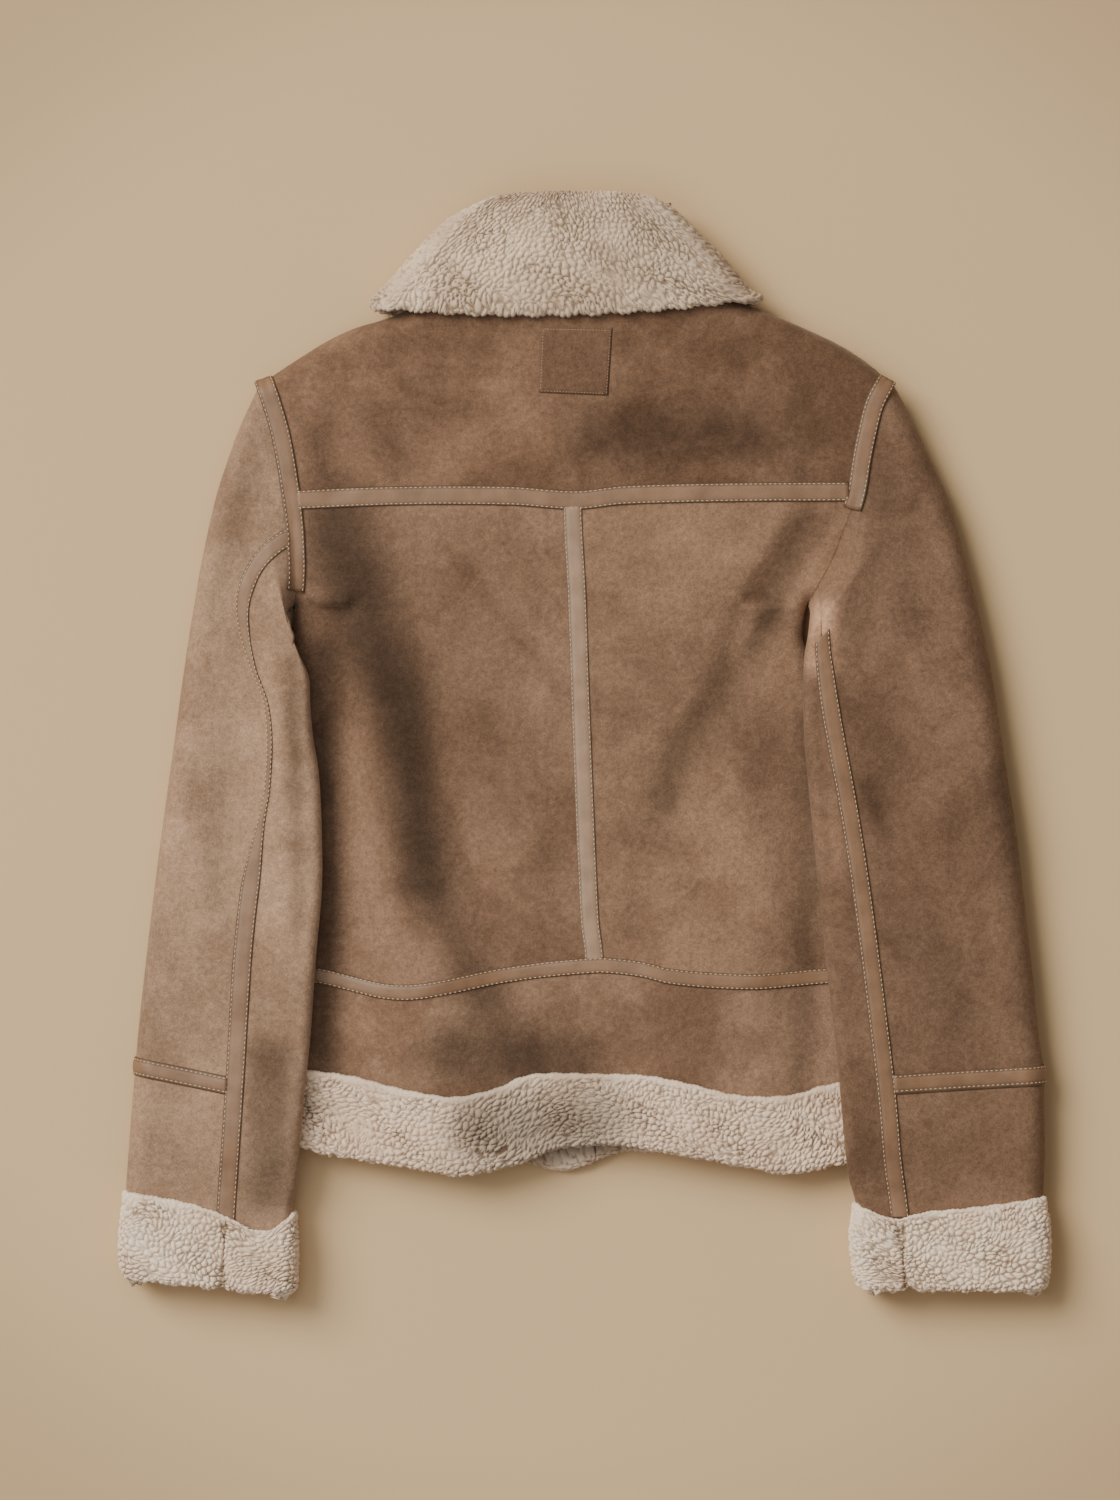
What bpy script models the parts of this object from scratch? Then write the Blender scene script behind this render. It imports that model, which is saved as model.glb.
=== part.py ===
"""Cropped suede jacket with fleece edges, lying face down with its back on top.

Lengths in the tables are millimetres. X runs to the wearer's right, Y towards the collar and Z up
from the surface that the fronts rest on. Every panel is a wall between an outer and an inner
sheet of points, and both sheets come from the outlines, heights and folds named here.
"""
import math

import bmesh
import bpy
from mathutils import Vector

MM = 0.001
SEAM_GAP = 0.3
ARMHOLE_GAP = 1.5
HIDDEN_GAP = 1.2
SUEDE_WALL = 3.0
FLEECE_WALL = 5.0
COLLAR_WALL = 7.0
TURN_GAP = 1.6
TAPE_HALF = 6.75
TAPE_LIFT = 0.5
TAPE_WALL = 1.0
ARMHOLE_TAPE_LIFT = 1.2

BODY_HEIGHT = 34.0
SIDE_HEIGHT = 22.0
HEM_HEIGHT = 27.0
EDGE_RADIUS = 12.0
SLEEVE_HEIGHT = 34.0
SLEEVE_INNER_HEIGHT = 45.0
SLEEVE_LIFT = 29.5
SLEEVE_INNER_RADIUS = 8.0
SLEEVE_OUTER_RADIUS = 15.0
COLLAR_RADIUS = 12.0
CUFF_HEIGHT = 33.0
SHOULDER_TIP_Y = 257.0
# The back lies low near its sides below the armholes, where the sleeves rest on it: distances in
# from the side, and levels, between which it rises.
LOW_SIDE_REACH = (40, 92)
LOW_SIDE_LEVELS = (88, 138)
# A hollow under the fold of the right sleeve.  columns: x, y, half width, half length
UNDERARM_HOLLOW = (178, 122, 34, 26)
HEM_SLOPE = (-232, -160)
# How far each section has left the armhole: its height, and its curve in plan.
SWING = (0, 0.35, 0.7, 1)
BOW = (1, 1, 0.75, 0.5, 0.25, 0)
# Stations round a section: the seam tape, the lowest inner point and the front seam.
TAPE_SEAM, INNER_FOLD, FRONT_SEAM, STATIONS = 10, 16, 21, 29
CUFF_SKIPS = (5, 7, 12, 20, 22, 24)

SUEDE = ("suede", (0.235, 0.132, 0.080, 1.0), 0.85)
LEATHER = ("leather_tape", (0.290, 0.180, 0.120, 1.0), 0.50)
FLEECE = ("fleece", (0.560, 0.430, 0.330, 1.0), 0.95)

# The top outline: shoulder lines up to the neck points at each end, the neckline between them.
# columns: x, y
TOP_EDGE = [
    (-224, 256), (-202, 270.5), (-180, 284), (-160, 293), (-140, 299), (-116, 308), (-92, 317),
    (-60, 309), (-4, 304), (50, 311), (84, 321), (104, 313), (125, 305), (150, 295),
    (174, 284), (188, 276), (202, 266), (212, 257),
]
NECK_POINTS = (-92, 84)
# The front neckline dips lower than the back one.  columns: x, y
FRONT_NECKLINE = [(-92, 317), (-70, 296), (-40, 276), (-4, 266), (32, 278), (62, 298), (84, 321)]

# Armholes from the shoulder tips to the underarms, then the side seams.
# columns: y, left x, right x
BODY_SIDES = [
    (257, -224, 212), (239, -218, 203), (220, -212.5, 198), (200, -208.5, 194), (180, -205.5, 191),
    (165, -203.5, 187), (150, -202, 181), (131, -201, 174), (116, -201.5, 166), (100, -203, 157),
    (88, -204.5, 154), (72, -205.5, 155), (50, -206, 164), (20, -207, 181), (0, -208, 189),
    (-100, -212, 203), (-200, -218, 208), (-310, -222, 212),
]
UNDERARM_Y = 100.0
# columns: y, x
CENTRE_SEAM = [(300, -8), (166, -8), (106, -5), (19, -2), (-121, 4), (-148, 7), (-320, 8)]

# Seam lines across the back.  columns: x, y
YOKE_SEAM = [(-205, 172), (-132, 175), (-52, 175), (-6, 172), (28, 175.5), (108, 177.5), (192, 178)]
WAIST_SEAM = [
    (-216, -159), (-187, -160.5), (-167, -165), (-140, -171), (-119, -171.5), (-92, -167),
    (-61, -161), (-31, -156.5), (0, -153.5), (15, -153), (41, -156), (59, -160.5), (90, -163.5),
    (120, -164.5), (143, -163), (168, -161), (208, -159),
]
HEM_TOP = [
    (-220, -220), (-195, -226), (-160, -231), (-137, -237), (-114, -242), (-90, -245), (-61, -239),
    (-46, -232), (-31, -229), (13, -229), (44, -230), (74, -236), (102, -243), (127, -245),
    (150, -243), (165, -238), (210, -230),
]
HEM_EDGE = [
    (-222, -275), (-200, -280), (-183, -285), (-152, -290), (-122, -294), (-84, -300), (-69, -297),
    (-46, -292), (-17, -281), (20, -278), (36, -279), (66, -285), (90, -289), (120, -295),
    (142, -299), (173, -294), (212, -288),
]
# The fronts hang a little lower at the opening and show below the back there.
FRONT_HEM_EDGE = [
    (-222, -275), (-150, -287), (-80, -292), (-46, -292), (-26, -297), (-12, -299), (4, -294),
    (30, -284), (120, -290), (212, -288),
]

# Soft folds in the back, each a ridge or a trough along a line.
# columns: start x, start y, end x, end y, half width, height
BACK_FOLDS = [
    (-172, 103, -98, -150, 20, 6.5),
    (-132, 105, -48, -165, 26, -5.0),
    (152, 146, 67, -16, 14, -6.5),
    (-104, 150, -24, 36, 15, 2.5),
    (-108, -176, -88, -300, 30, 3.5),
    (-28, -190, -6, -300, 30, -3.5),
    (52, -180, 70, -300, 30, 3.0),
    (30, 236, 128, 250, 26, -3.0),
    (-176, 190, -168, 260, 14, -2.5),
]

# Sleeve sections from the armhole to the cuff.
# columns: outer x, outer y, inner x, inner y
LEFT_SLEEVE = [
    (-224, 257, -203, 100), (-230.5, 247, -207.5, 95), (-242, 222, -208, 86), (-250, 200, -204.5, 75),
    (-258, 175, -198, 62), (-267, 135, -192, 48), (-274, 95, -191, 28), (-281, 50, -189, 6),
    (-287, 5, -185, -20), (-294, -45, -183, -60), (-300, -90, -183, -100), (-306, -140, -187, -147),
    (-311, -185, -191, -203), (-314, -217, -195, -241), (-314.5, -223.5, -195.5, -247.5),
    (-315, -230, -196, -254),
    (-318, -268, -200, -292),
]
RIGHT_SLEEVE = [
    (212, 257, 157, 100), (219, 250, 158.5, 94), (232, 224, 157.5, 86), (243, 200, 156, 76),
    (255, 174, 154, 65), (266, 138, 153, 51), (275, 102, 153, 38), (284, 62, 153, 22),
    (291, 20, 154, 2), (297, -20, 156, -22), (304, -66, 160, -62), (310, -118, 165, -112),
    (315, -162, 170, -162), (319, -202, 175, -204), (322, -223, 178, -231),
    (322.3, -230, 178.5, -238), (322.5, -237, 179, -245), (323, -285, 184, -296),
]
# Back seam of each sleeve, which the tape follows.  columns: x, y
LEFT_SLEEVE_SEAM = [
    (-204, 150), (-216, 145), (-227, 133), (-234, 118), (-238, 100), (-237, 80), (-231, 56),
    (-222, 32), (-219, 5), (-221, -30), (-226, -57), (-230, -80), (-234, -106), (-238, -144),
    (-241, -190), (-243, -225), (-246, -270), (-250, -322), (-252, -370),
]
RIGHT_SLEEVE_SEAM = [
    (164, 88), (166, 68), (172, 24), (182, -30), (190, -78), (197, -128), (205.5, -196),
    (211, -243), (215, -287), (220, -323), (224, -370),
]
# The cuff tape's rows of sections; the seam it covers, above the cuff panel, is the middle one.
LEFT_CUFF_TAPE_ROWS = (13, 14, 15)
RIGHT_CUFF_TAPE_ROWS = (14, 15, 16)

# Turned-up cuffs: the edge that lies on the suede, the hidden end of the suede, and the fold.
# columns: outer x, outer y, inner x, inner y
LEFT_CUFF_SECTIONS = [
    (-321, -311, -203, -325), (-321, -331, -204, -346), (-322, -356, -205, -368),
    (-320, -368, -206, -379),
]
RIGHT_CUFF_SECTIONS = [
    (322, -315, 190, -319), (322.5, -332, 190, -338), (323, -356, 192, -362),
    (321, -376, 196, -375),
]

# Collar sections from the neck seam up the stand, over the fold and down the leaf.
# columns: left x, right x, left y, middle y, right y, front y, low z, high z, turn in degrees
COLLAR_SECTIONS = [
    (-91, 83, 319.5, 306, 323.5, 272, 8.6, 34.0, 0),
    (-88, 79, 338, 334, 341, 293, 8.6, 34.0, 0),
    (-79, 68, 356, 360, 358, 315, 8.6, 33.5, 0),
    (-68, 56, 371, 377, 372, 330, 8.4, 33.5, 20),
    (-66, 53, 378, 381.5, 378, 335, 8.0, 34.2, 90),
    (-82, 60, 374, 380, 374, 333, 7.3, 35.2, 150),
    (-98, 74, 362, 370, 360, 325, 7.0, 35.8, 180),
    (-112, 89, 347, 352, 345, 305, 7.0, 36.0, 180),
    (-127, 103, 330, 332, 329, 282, 7.0, 36.0, 180),
    (-139, 112, 315.5, 314, 317, 258, 7.0, 35.9, 180),
    (-145, 119, 306, 301, 312, 244, 7.0, 35.6, 180),
]

# Soft folds along the sleeves.
# columns: start x, start y, end x, end y, half width, height
SLEEVE_FOLDS = [
    (-236, 110, -205, -20, 12, 3.0),
    (-282, -20, -246, -170, 14, 2.5),
    (-296, -90, -300, -180, 12, -2.5),
    (250, 120, 292, -60, 16, 2.5),
    (205, -30, 222, -84, 9, -2.0),
]

# How far the cuff's upper edge hangs below a straight line.  columns: fraction across, drop
LEFT_CUFF_DROP = [(0, 0), (0.4, -2), (0.62, -7), (0.75, -13), (0.87, -12), (0.96, -4), (1, 0)]
RIGHT_CUFF_DROP = [(0, 0), (0.2, -3), (0.45, -6), (0.63, -7.5), (0.8, -12), (0.9, -7), (1, 0)]

PATCH_CORNERS = [(-30, 293), (20, 292), (17, 245), (-32, 247)]


def mix(a, b, t):
    return a + (b - a) * t


def smooth(edge_low, edge_high, value):
    """0 below the first edge, 1 above the second, and a soft step between them."""
    t = min(1.0, max(0.0, (value - edge_low) / (edge_high - edge_low)))
    return t * t * (3 - 2 * t)


def curve_at(table, key, column=1):
    """A smooth curve through one column of a table, read at a value of its first column."""
    rows = sorted(table)
    count = len(rows)
    i = 0
    while i < count - 2 and key > rows[i + 1][0]:
        i += 1
    before, low, high, after = (rows[min(max(j, 0), count - 1)] for j in (i - 1, i, i + 1, i + 2))
    span = high[0] - low[0]
    t = (key - low[0]) / span
    if t <= 0 or t >= 1:
        return low[column] + (high[column] - low[column]) * t
    slope_low = (high[column] - before[column]) / (high[0] - before[0]) * span
    slope_high = (after[column] - low[column]) / (after[0] - low[0]) * span
    return (
        (2 * t**3 - 3 * t**2 + 1) * low[column]
        + (t**3 - 2 * t**2 + t) * slope_low
        + (3 * t**2 - 2 * t**3) * high[column]
        + (t**3 - t**2) * slope_high
    )


def side_x(y, side):
    return curve_at(BODY_SIDES, y, 1 if side < 0 else 2)


def rim_lines():
    """The folded edges where back meets front: both shoulders and both side seams."""
    lines = []
    left, right = (TOP_EDGE[0][0], NECK_POINTS[0]), (NECK_POINTS[1], TOP_EDGE[-1][0])
    for side, (low, high) in ((-1, left), (1, right)):
        steps = [low + (high - low) * k / 12 for k in range(13)]
        lines.append([Vector((x, curve_at(TOP_EDGE, x))) for x in steps])
        lows = [UNDERARM_Y - k * 24 for k in range(17)]
        lines.append([Vector((side_x(y, side), y)) for y in lows])
    return lines


RIMS = rim_lines()
BODY_CENTRE = Vector((0, 50))


def rim_distance(point):
    """Distance to the nearest folded edge, and the direction out of the body there."""
    best = (1e9, Vector((0, 0)))
    for line in RIMS:
        for a, b in zip(line, line[1:]):
            t = min(1.0, max(0.0, (point - a).dot(b - a) / (b - a).length_squared))
            away = a + (b - a) * t - point
            if away.length < best[0]:
                if away.length < 0.5:
                    normal = Vector((b.y - a.y, a.x - b.x)).normalized()
                    away_dir = normal if normal.dot(a - BODY_CENTRE) > 0 else -normal
                else:
                    away_dir = away.normalized()
                best = (away.length, away_dir)
    return best


def fold_height(x, y, folds):
    total = 0.0
    for start_x, start_y, end_x, end_y, half_width, height in folds:
        start = Vector((start_x, start_y))
        line = Vector((end_x, end_y)) - start
        t = (Vector((x, y)) - start).dot(line) / line.length_squared
        beyond = max(0.0, -t, t - 1.0) * line.length
        across = (Vector((x, y)) - start - line * min(1.0, max(0.0, t))).length - beyond
        total += height * math.exp(-((across / half_width) ** 2) - (beyond / half_width) ** 2)
    return total


def back_height(x, y):
    """Height of the back's suede face above the surface."""
    from_side = min(x - side_x(min(y, UNDERARM_Y), -1), side_x(min(y, UNDERARM_Y), 1) - x)
    low_side = (1 - smooth(*LOW_SIDE_REACH, from_side)) * (1 - smooth(*LOW_SIDE_LEVELS, y))
    hollow_x, hollow_y, half_width, half_length = UNDERARM_HOLLOW
    hollow = math.exp(-(((x - hollow_x) / half_width) ** 2) - ((y - hollow_y) / half_length) ** 2)
    height = BODY_HEIGHT - (BODY_HEIGHT - SIDE_HEIGHT) * max(low_side, hollow)
    height -= (1 - smooth(*HEM_SLOPE, y)) * (BODY_HEIGHT - HEM_HEIGHT) * (1 - low_side)
    calm = smooth(36, 60, from_side) if y < UNDERARM_Y else 1.0
    return height + fold_height(x, y, BACK_FOLDS) * calm


def front_height(x, y):
    """Height of the fronts' suede face, raised only over the collar and the turned-up hem."""
    on_collar = smooth(186, 226, y) * (1 - smooth(148, 172, abs(x + 12)))
    on_hem = 1 - smooth(-216, -178, y)
    return (COLLAR_WALL + TURN_GAP) * on_collar + (FLEECE_WALL + TURN_GAP) * on_hem


def body_point(x, y, face):
    """Point and outward direction on the back (face 1) or on the fronts (face -1)."""
    high, low = back_height(x, y), front_height(x, y)
    distance, outward = rim_distance(Vector((x, y)))
    cosine = max(0.0, 1 - distance / EDGE_RADIUS)
    sine = math.sqrt(1 - cosine**2)
    half = (high - low) / 2
    surface = back_height if face > 0 else front_height
    slope = Vector((surface(x + 1, y) - surface(x - 1, y), surface(x, y + 1) - surface(x, y - 1))) / 2
    flat = outward * (cosine * half / EDGE_RADIUS) - slope * (sine * face)
    point = Vector((x, y, low + half * (1 + face * sine)))
    return point, Vector((flat.x, flat.y, face * sine)).normalized()


def sleeve_span(side, x, y, across, swing):
    """Low and high faces of a sleeve: it lies on the floor, then over the side of the body."""
    inside = (x - side_x(min(y, UNDERARM_Y), side)) * -side
    lift = smooth(-28, 0, inside) * (1 - smooth(86, 104, y)) * smooth(-328, -296, y)
    cuff = 1 - smooth(-290, -150, y)
    low = SLEEVE_LIFT * lift + (FLEECE_WALL + TURN_GAP) * cuff * (1 - lift)
    high = mix(SLEEVE_HEIGHT, SLEEVE_INNER_HEIGHT, smooth(0.2, 1.0, across))
    high = mix(high, CUFF_HEIGHT, 1 - smooth(-318, -262, y))
    high += fold_height(x, y, SLEEVE_FOLDS)
    return low * swing, mix(back_height(x, y), high, swing)


def seam_reach(seam, outer, inner):
    """Distance from the outer fold at which a section crosses the back seam of the sleeve."""
    toward = (inner - outer).normalized()
    best = None
    for a, b in zip(seam, seam[1:]):
        start, step = Vector(a), Vector(b) - Vector(a)
        turn = step.x * toward.y - step.y * toward.x
        if abs(turn) < 1e-6:
            continue
        offset_to = outer - start
        t = (offset_to.x * toward.y - offset_to.y * toward.x) / turn
        reach = (start + step * t - outer).dot(toward)
        miss = max(0.0, -t, t - 1.0)
        if best is None or miss < best[0]:
            best = (miss, reach)
    return best[1]


def sleeve_section(side, seam, section, swing, bow):
    """Points round one section: over the top from the outer fold to the inner, back beneath."""
    outer, inner = Vector(section[:2]), Vector(section[2:4])
    length = (inner - outer).length
    low_out, high_out = sleeve_span(side, *outer, 0, swing)
    low_in, high_in = sleeve_span(side, *inner, 1, swing)
    outer_radius = mix(EDGE_RADIUS, SLEEVE_OUTER_RADIUS, swing)
    inner_radius = mix(EDGE_RADIUS, SLEEVE_INNER_RADIUS, swing)
    outer_arc = math.pi / 4 * (outer_radius + (high_out - low_out) / 2)
    inner_arc = math.pi / 4 * (inner_radius + (high_in - low_in) / 2)
    total = outer_arc + length - outer_radius - inner_radius + inner_arc
    to_seam = seam_reach(seam, outer, inner) - outer_radius + outer_arc
    to_seam = min(to_seam, total - TAPE_HALF - 1.5)
    first, second = to_seam - TAPE_HALF, to_seam + TAPE_HALF
    spans = [(outer_arc * t, 1) for t in (0, 0.33, 0.67, 1)]
    spans += [(mix(outer_arc, first, t), 1) for t in (0.17, 0.33, 0.5, 0.67, 0.84)]
    spans += [(first, 1), (to_seam, 1), (second, 1)]
    spans += [(mix(second, total, t), 1) for t in (0.35, 0.62, 0.8, 0.92, 1)]
    spans += [(total - inner_arc * t, -1) for t in (0.33, 0.67, 1)]
    inner_flat = total - inner_arc
    spans += [(mix(inner_flat, outer_arc, t), -1) for t in (0.16, 0.3, 0.44, 0.58, 0.72, 0.86)]
    spans += [(outer_arc * t, -1) for t in (1, 0.67, 0.33)]
    points = []
    for s, face in spans:
        if s < outer_arc:
            angle = s / outer_arc * math.pi / 2
            reach = outer_radius * (1 - math.cos(angle))
        elif total - s < inner_arc:
            angle = (total - s) / inner_arc * math.pi / 2
            reach = length - inner_radius * (1 - math.cos(angle))
        else:
            angle = math.pi / 2
            reach = outer_radius + s - outer_arc
        across = reach / length
        flat = outer + (inner - outer) * across
        armhole_y = mix(SHOULDER_TIP_Y, UNDERARM_Y, across)
        straight = mix(side_x(SHOULDER_TIP_Y, side), side_x(UNDERARM_Y, side), across)
        flat.x += (side_x(armhole_y, side) - straight) * bow
        if swing == 0:
            points.append(body_point(side_x(armhole_y, side), armhole_y, face))
            continue
        low, high = sleeve_span(side, flat.x, flat.y, across, swing)
        half = (high - low) / 2
        z = low + half * (1 + face * math.sin(angle))
        points.append((Vector((flat.x, flat.y, z)), None))
    return points


def sleeve_grid(side, seam, sections):
    """Every section of a sleeve, with outward directions; the armhole keeps those of the body."""
    rows = []
    for k, section in enumerate(sections):
        rows.append(sleeve_section(side, seam, section, SWING[min(k, 3)], BOW[min(k, 5)]))
    points = [[p for p, n in row] for row in rows]
    normals = grid_normals(points, True)
    if normals[6][TAPE_SEAM].z < 0:
        normals = [[-n for n in row] for row in normals]
    normals[0] = [n for p, n in rows[0]]
    return points, normals


def beside(armhole, line, level):
    """Reads a line of a sleeve grid beside the armhole point at this level."""
    j = 0
    while j < INNER_FOLD - 1 and level < armhole[j + 1].y:
        j += 1
    t = (level - armhole[j].y) / min(-0.001, armhole[j + 1].y - armhole[j].y)
    return mix(line[j], line[j + 1], min(1.0, max(0.0, t)))


def columns_of(grid, columns, first_row=0, last_row=99):
    rows, normals = grid
    cut = slice(first_row, last_row + 1)
    pick = [[line[j] for j in columns] for line in rows[cut]]
    return pick, [[line[j] for j in columns] for line in normals[cut]]


def grid_normals(rows, closed):
    """Outward directions of a grid of points, rows down the piece and columns around it."""
    last = len(rows) - 1
    count = len(rows[0])
    result = []
    for i in range(last + 1):
        line = []
        for j in range(count):
            left = rows[i][(j - 1) % count] if closed or j > 0 else rows[i][j]
            right = rows[i][(j + 1) % count] if closed or j < count - 1 else rows[i][j]
            down = rows[min(i + 1, last)][j] - rows[max(i - 1, 0)][j]
            line.append((right - left).cross(down).normalized())
        result.append(line)
    return result


def make_material(finish):
    name, colour, roughness = finish
    material = bpy.data.materials.get(name)
    if material is None:
        material = bpy.data.materials.new(name)
        material.use_nodes = True
        shader = material.node_tree.nodes["Principled BSDF"]
        shader.inputs["Base Color"].default_value = colour
        shader.inputs["Roughness"].default_value = roughness
        shader.inputs["Metallic"].default_value = 0.0
    return material


def wall_piece(name, face_rows, back_rows, finish):
    """One closed solid between two sheets of points, with a rim all round."""
    mesh = bmesh.new()
    sheets = []
    for rows in (face_rows, back_rows):
        sheets.append([[mesh.verts.new(point * MM) for point in row] for row in rows])
    face, back = sheets
    rows, columns = len(face), len(face[0])
    for i in range(rows - 1):
        for j in range(columns - 1):
            mesh.faces.new((face[i][j], face[i + 1][j], face[i + 1][j + 1], face[i][j + 1]))
            mesh.faces.new((back[i][j], back[i][j + 1], back[i + 1][j + 1], back[i + 1][j]))
    edge = [(0, j) for j in range(columns)] + [(i, columns - 1) for i in range(1, rows)]
    edge += [(rows - 1, j) for j in range(columns - 2, -1, -1)]
    edge += [(i, 0) for i in range(rows - 2, 0, -1)]
    for (i, j), (k, m) in zip(edge, edge[1:] + edge[:1]):
        mesh.faces.new((face[i][j], face[k][m], back[k][m], back[i][j]))
    bmesh.ops.recalc_face_normals(mesh, faces=mesh.faces)
    data = bpy.data.meshes.new(name)
    mesh.to_mesh(data)
    mesh.free()
    data.materials.append(make_material(finish))
    data.shade_smooth()
    data.set_sharp_from_angle(angle=math.radians(40))
    piece = bpy.data.objects.new(name, data)
    jacket.objects.link(piece)
    return piece


def offset(rows, normals, amount):
    return [[p + n * amount for p, n in zip(row, line)] for row, line in zip(rows, normals)]


def pull_in(rows, side, amount):
    """Moves one border of a grid towards its neighbour row or column, to leave a seam gap."""
    if side in ("first_row", "last_row"):
        edge, inside = (0, 1) if side == "first_row" else (-1, -2)
        rows[edge] = [a + (b - a).normalized() * amount for a, b in zip(rows[edge], rows[inside])]
    else:
        edge, inside = (0, 1) if side == "first_column" else (-1, -2)
        for row in rows:
            row[edge] = row[edge] + (row[inside] - row[edge]).normalized() * amount
    return rows


def panel(name, rows, normals, seams, wall=SUEDE_WALL, finish=SUEDE, lift=0.0):
    """A panel cut from a grid: gaps on the borders named in seams, then a wall behind its face."""
    face = offset(rows, normals, lift)
    back = offset(rows, normals, lift - wall)
    for side in seams:
        pull_in(face, side, SEAM_GAP / 2)
        pull_in(back, side, SEAM_GAP / 2)
    return wall_piece(name, face, back, finish)


def tape(name, rows, normals, seams=(), lift=TAPE_LIFT):
    """Leather tape lying on the panels, made from the same points moved out."""
    return panel(name, rows, normals, seams, TAPE_WALL, LEATHER, lift + TAPE_WALL)


def meeting_level(outline, side):
    """Y at which an outline meets the side of the body, or the centre seam where side is 0."""
    y = curve_at(outline, 0)
    for _ in range(12):
        x = curve_at(CENTRE_SEAM, y) if side == 0 else side_x(y, side)
        y = curve_at(outline, x)
    return y


def body_grid(across, downs, top, bottom, face):
    """Points between two outlines: across from -1 to 1, downs from 0 at the top to 1 below."""
    rows, normals = [], []
    for down in downs:
        points = []
        for u in across:
            side = -1 if u < 0 else 1
            side_top, side_bottom = meeting_level(top, side), meeting_level(bottom, side)
            mid_top, mid_bottom = meeting_level(top, 0), meeting_level(bottom, 0)
            top_x = mix(curve_at(CENTRE_SEAM, mid_top), side_x(side_top, side), abs(u))
            bottom_x = mix(curve_at(CENTRE_SEAM, mid_bottom), side_x(side_bottom, side), abs(u))
            mid_x = curve_at(CENTRE_SEAM, mix(mid_top, mid_bottom, down))
            x = mix(mid_x, side_x(mix(side_top, side_bottom, down), side), abs(u))
            y = mix(curve_at(top, top_x), curve_at(bottom, bottom_x), down)
            points.append(body_point(x, y, face))
        rows.append([p for p, n in points])
        normals.append([n for p, n in points])
    return rows, normals


def part_of(grid, first_row, last_row, first_column, last_column):
    rows, normals = grid
    cut = slice(first_row, last_row + 1)
    across = slice(first_column, last_column + 1)
    return [line[across] for line in rows[cut]], [line[across] for line in normals[cut]]


for thing in list(bpy.data.objects):
    bpy.data.objects.remove(thing, do_unlink=True)
jacket = bpy.data.collections.new("suede_jacket")
bpy.context.scene.collection.children.link(jacket)

# Columns stand at the edges of the tapes and round the folded sides.
HALF_ACROSS = [0, 0.033, 0.14, 0.28, 0.42, 0.56, 0.70, 0.82, 0.90, 0.94, 0.967, 0.992, 1]
BACK_ACROSS = [-u for u in reversed(HALF_ACROSS[1:])] + HALF_ACROSS
MIDDLE = len(HALF_ACROSS) - 1
LAST = len(BACK_ACROSS) - 1
YOKE_DOWNS = [0, 0.0125, 0.046, 0.095, 0.23, 0.37, 0.51, 0.65, 0.8, 0.945, 1]
BACK_DOWNS = [0, 0.02, 0.06, 0.1, 0.145, 0.19, 0.235, 0.3, 0.38, 0.46, 0.54, 0.62, 0.7, 0.78, 0.86,
              0.93, 0.983, 1]
BAND_DOWNS = [0, 0.075, 0.3, 0.55, 0.8, 1.0, 1.25]
HEM_DOWNS = [0, 0.3, 0.65, 0.88]

FRONT_TOP = [row for row in TOP_EDGE if row[0] < NECK_POINTS[0]] + FRONT_NECKLINE
FRONT_TOP += [row for row in TOP_EDGE if row[0] > NECK_POINTS[1]]
FRONT_HALF = [0, 0.2, 0.45, 0.7, 0.85, 0.94, 0.967, 0.992, 1]
FRONT_DOWNS = [0, 0.003, 0.012, 0.024, 0.055, 0.085, 0.115, 0.145, 0.175, 0.205, 0.235, 0.265,
               0.295, 0.33, 0.42, 0.52, 0.64, 0.76, 0.84, 0.9, 0.96, 1.0, 1.03]

# Back: yoke, two body panels and the waistband.
yoke = body_grid(BACK_ACROSS, YOKE_DOWNS, TOP_EDGE, YOKE_SEAM, 1)
back = body_grid(BACK_ACROSS, BACK_DOWNS, YOKE_SEAM, WAIST_SEAM, 1)
band = body_grid(BACK_ACROSS, BAND_DOWNS, WAIST_SEAM, HEM_TOP, 1)
ALL_SEAMS = ("first_row", "last_row", "first_column", "last_column")
panel("back_yoke", *yoke, ALL_SEAMS)
panel("back_left", *part_of(back, 0, 99, 0, MIDDLE), ALL_SEAMS)
panel("back_right", *part_of(back, 0, 99, MIDDLE, LAST), ALL_SEAMS)
panel("back_waistband", *band, ALL_SEAMS)

# Fronts, edge to edge at the centre, hidden under the back.
for name, sign in (("front_left", -1), ("front_right", 1)):
    across = sorted(sign * u for u in FRONT_HALF)
    panel(name, *body_grid(across, FRONT_DOWNS, FRONT_TOP, HEM_TOP, -1), ALL_SEAMS)

# Leather tapes over the yoke, centre back and waist seams.
TAPE_COLUMN = HALF_ACROSS[::-1].index(0.967)
yoke_strip = [[yoke[k][-2], back[k][0], back[k][1]] for k in (0, 1)]
yoke_strip = part_of(yoke_strip, 0, 2, TAPE_COLUMN, LAST - TAPE_COLUMN)
tape("yoke_tape", *yoke_strip, ("first_column", "last_column"))
centre_strip = part_of(back, 1, len(BACK_DOWNS) - 2, MIDDLE - 1, MIDDLE + 1)
tape("centre_back_tape", *centre_strip, ("first_row", "last_row"))
waist_strip = [[back[k][-2], back[k][-1], band[k][1]] for k in (0, 1)]
tape("waist_tape", *waist_strip)


def patch_grid(steps):
    """Points over the four-cornered patch, on the yoke."""
    top_left, top_right, low_right, low_left = (Vector(corner) for corner in PATCH_CORNERS)
    rows, normals = [], []
    for i in range(steps + 1):
        left, right = mix(top_left, low_left, i / steps), mix(top_right, low_right, i / steps)
        points = [body_point(*mix(left, right, j / steps), 1) for j in range(steps + 1)]
        rows.append([p for p, n in points])
        normals.append([n for p, n in points])
    return rows, normals


panel("back_patch", *patch_grid(5), (), TAPE_WALL, SUEDE, TAPE_LIFT + TAPE_WALL)


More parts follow.
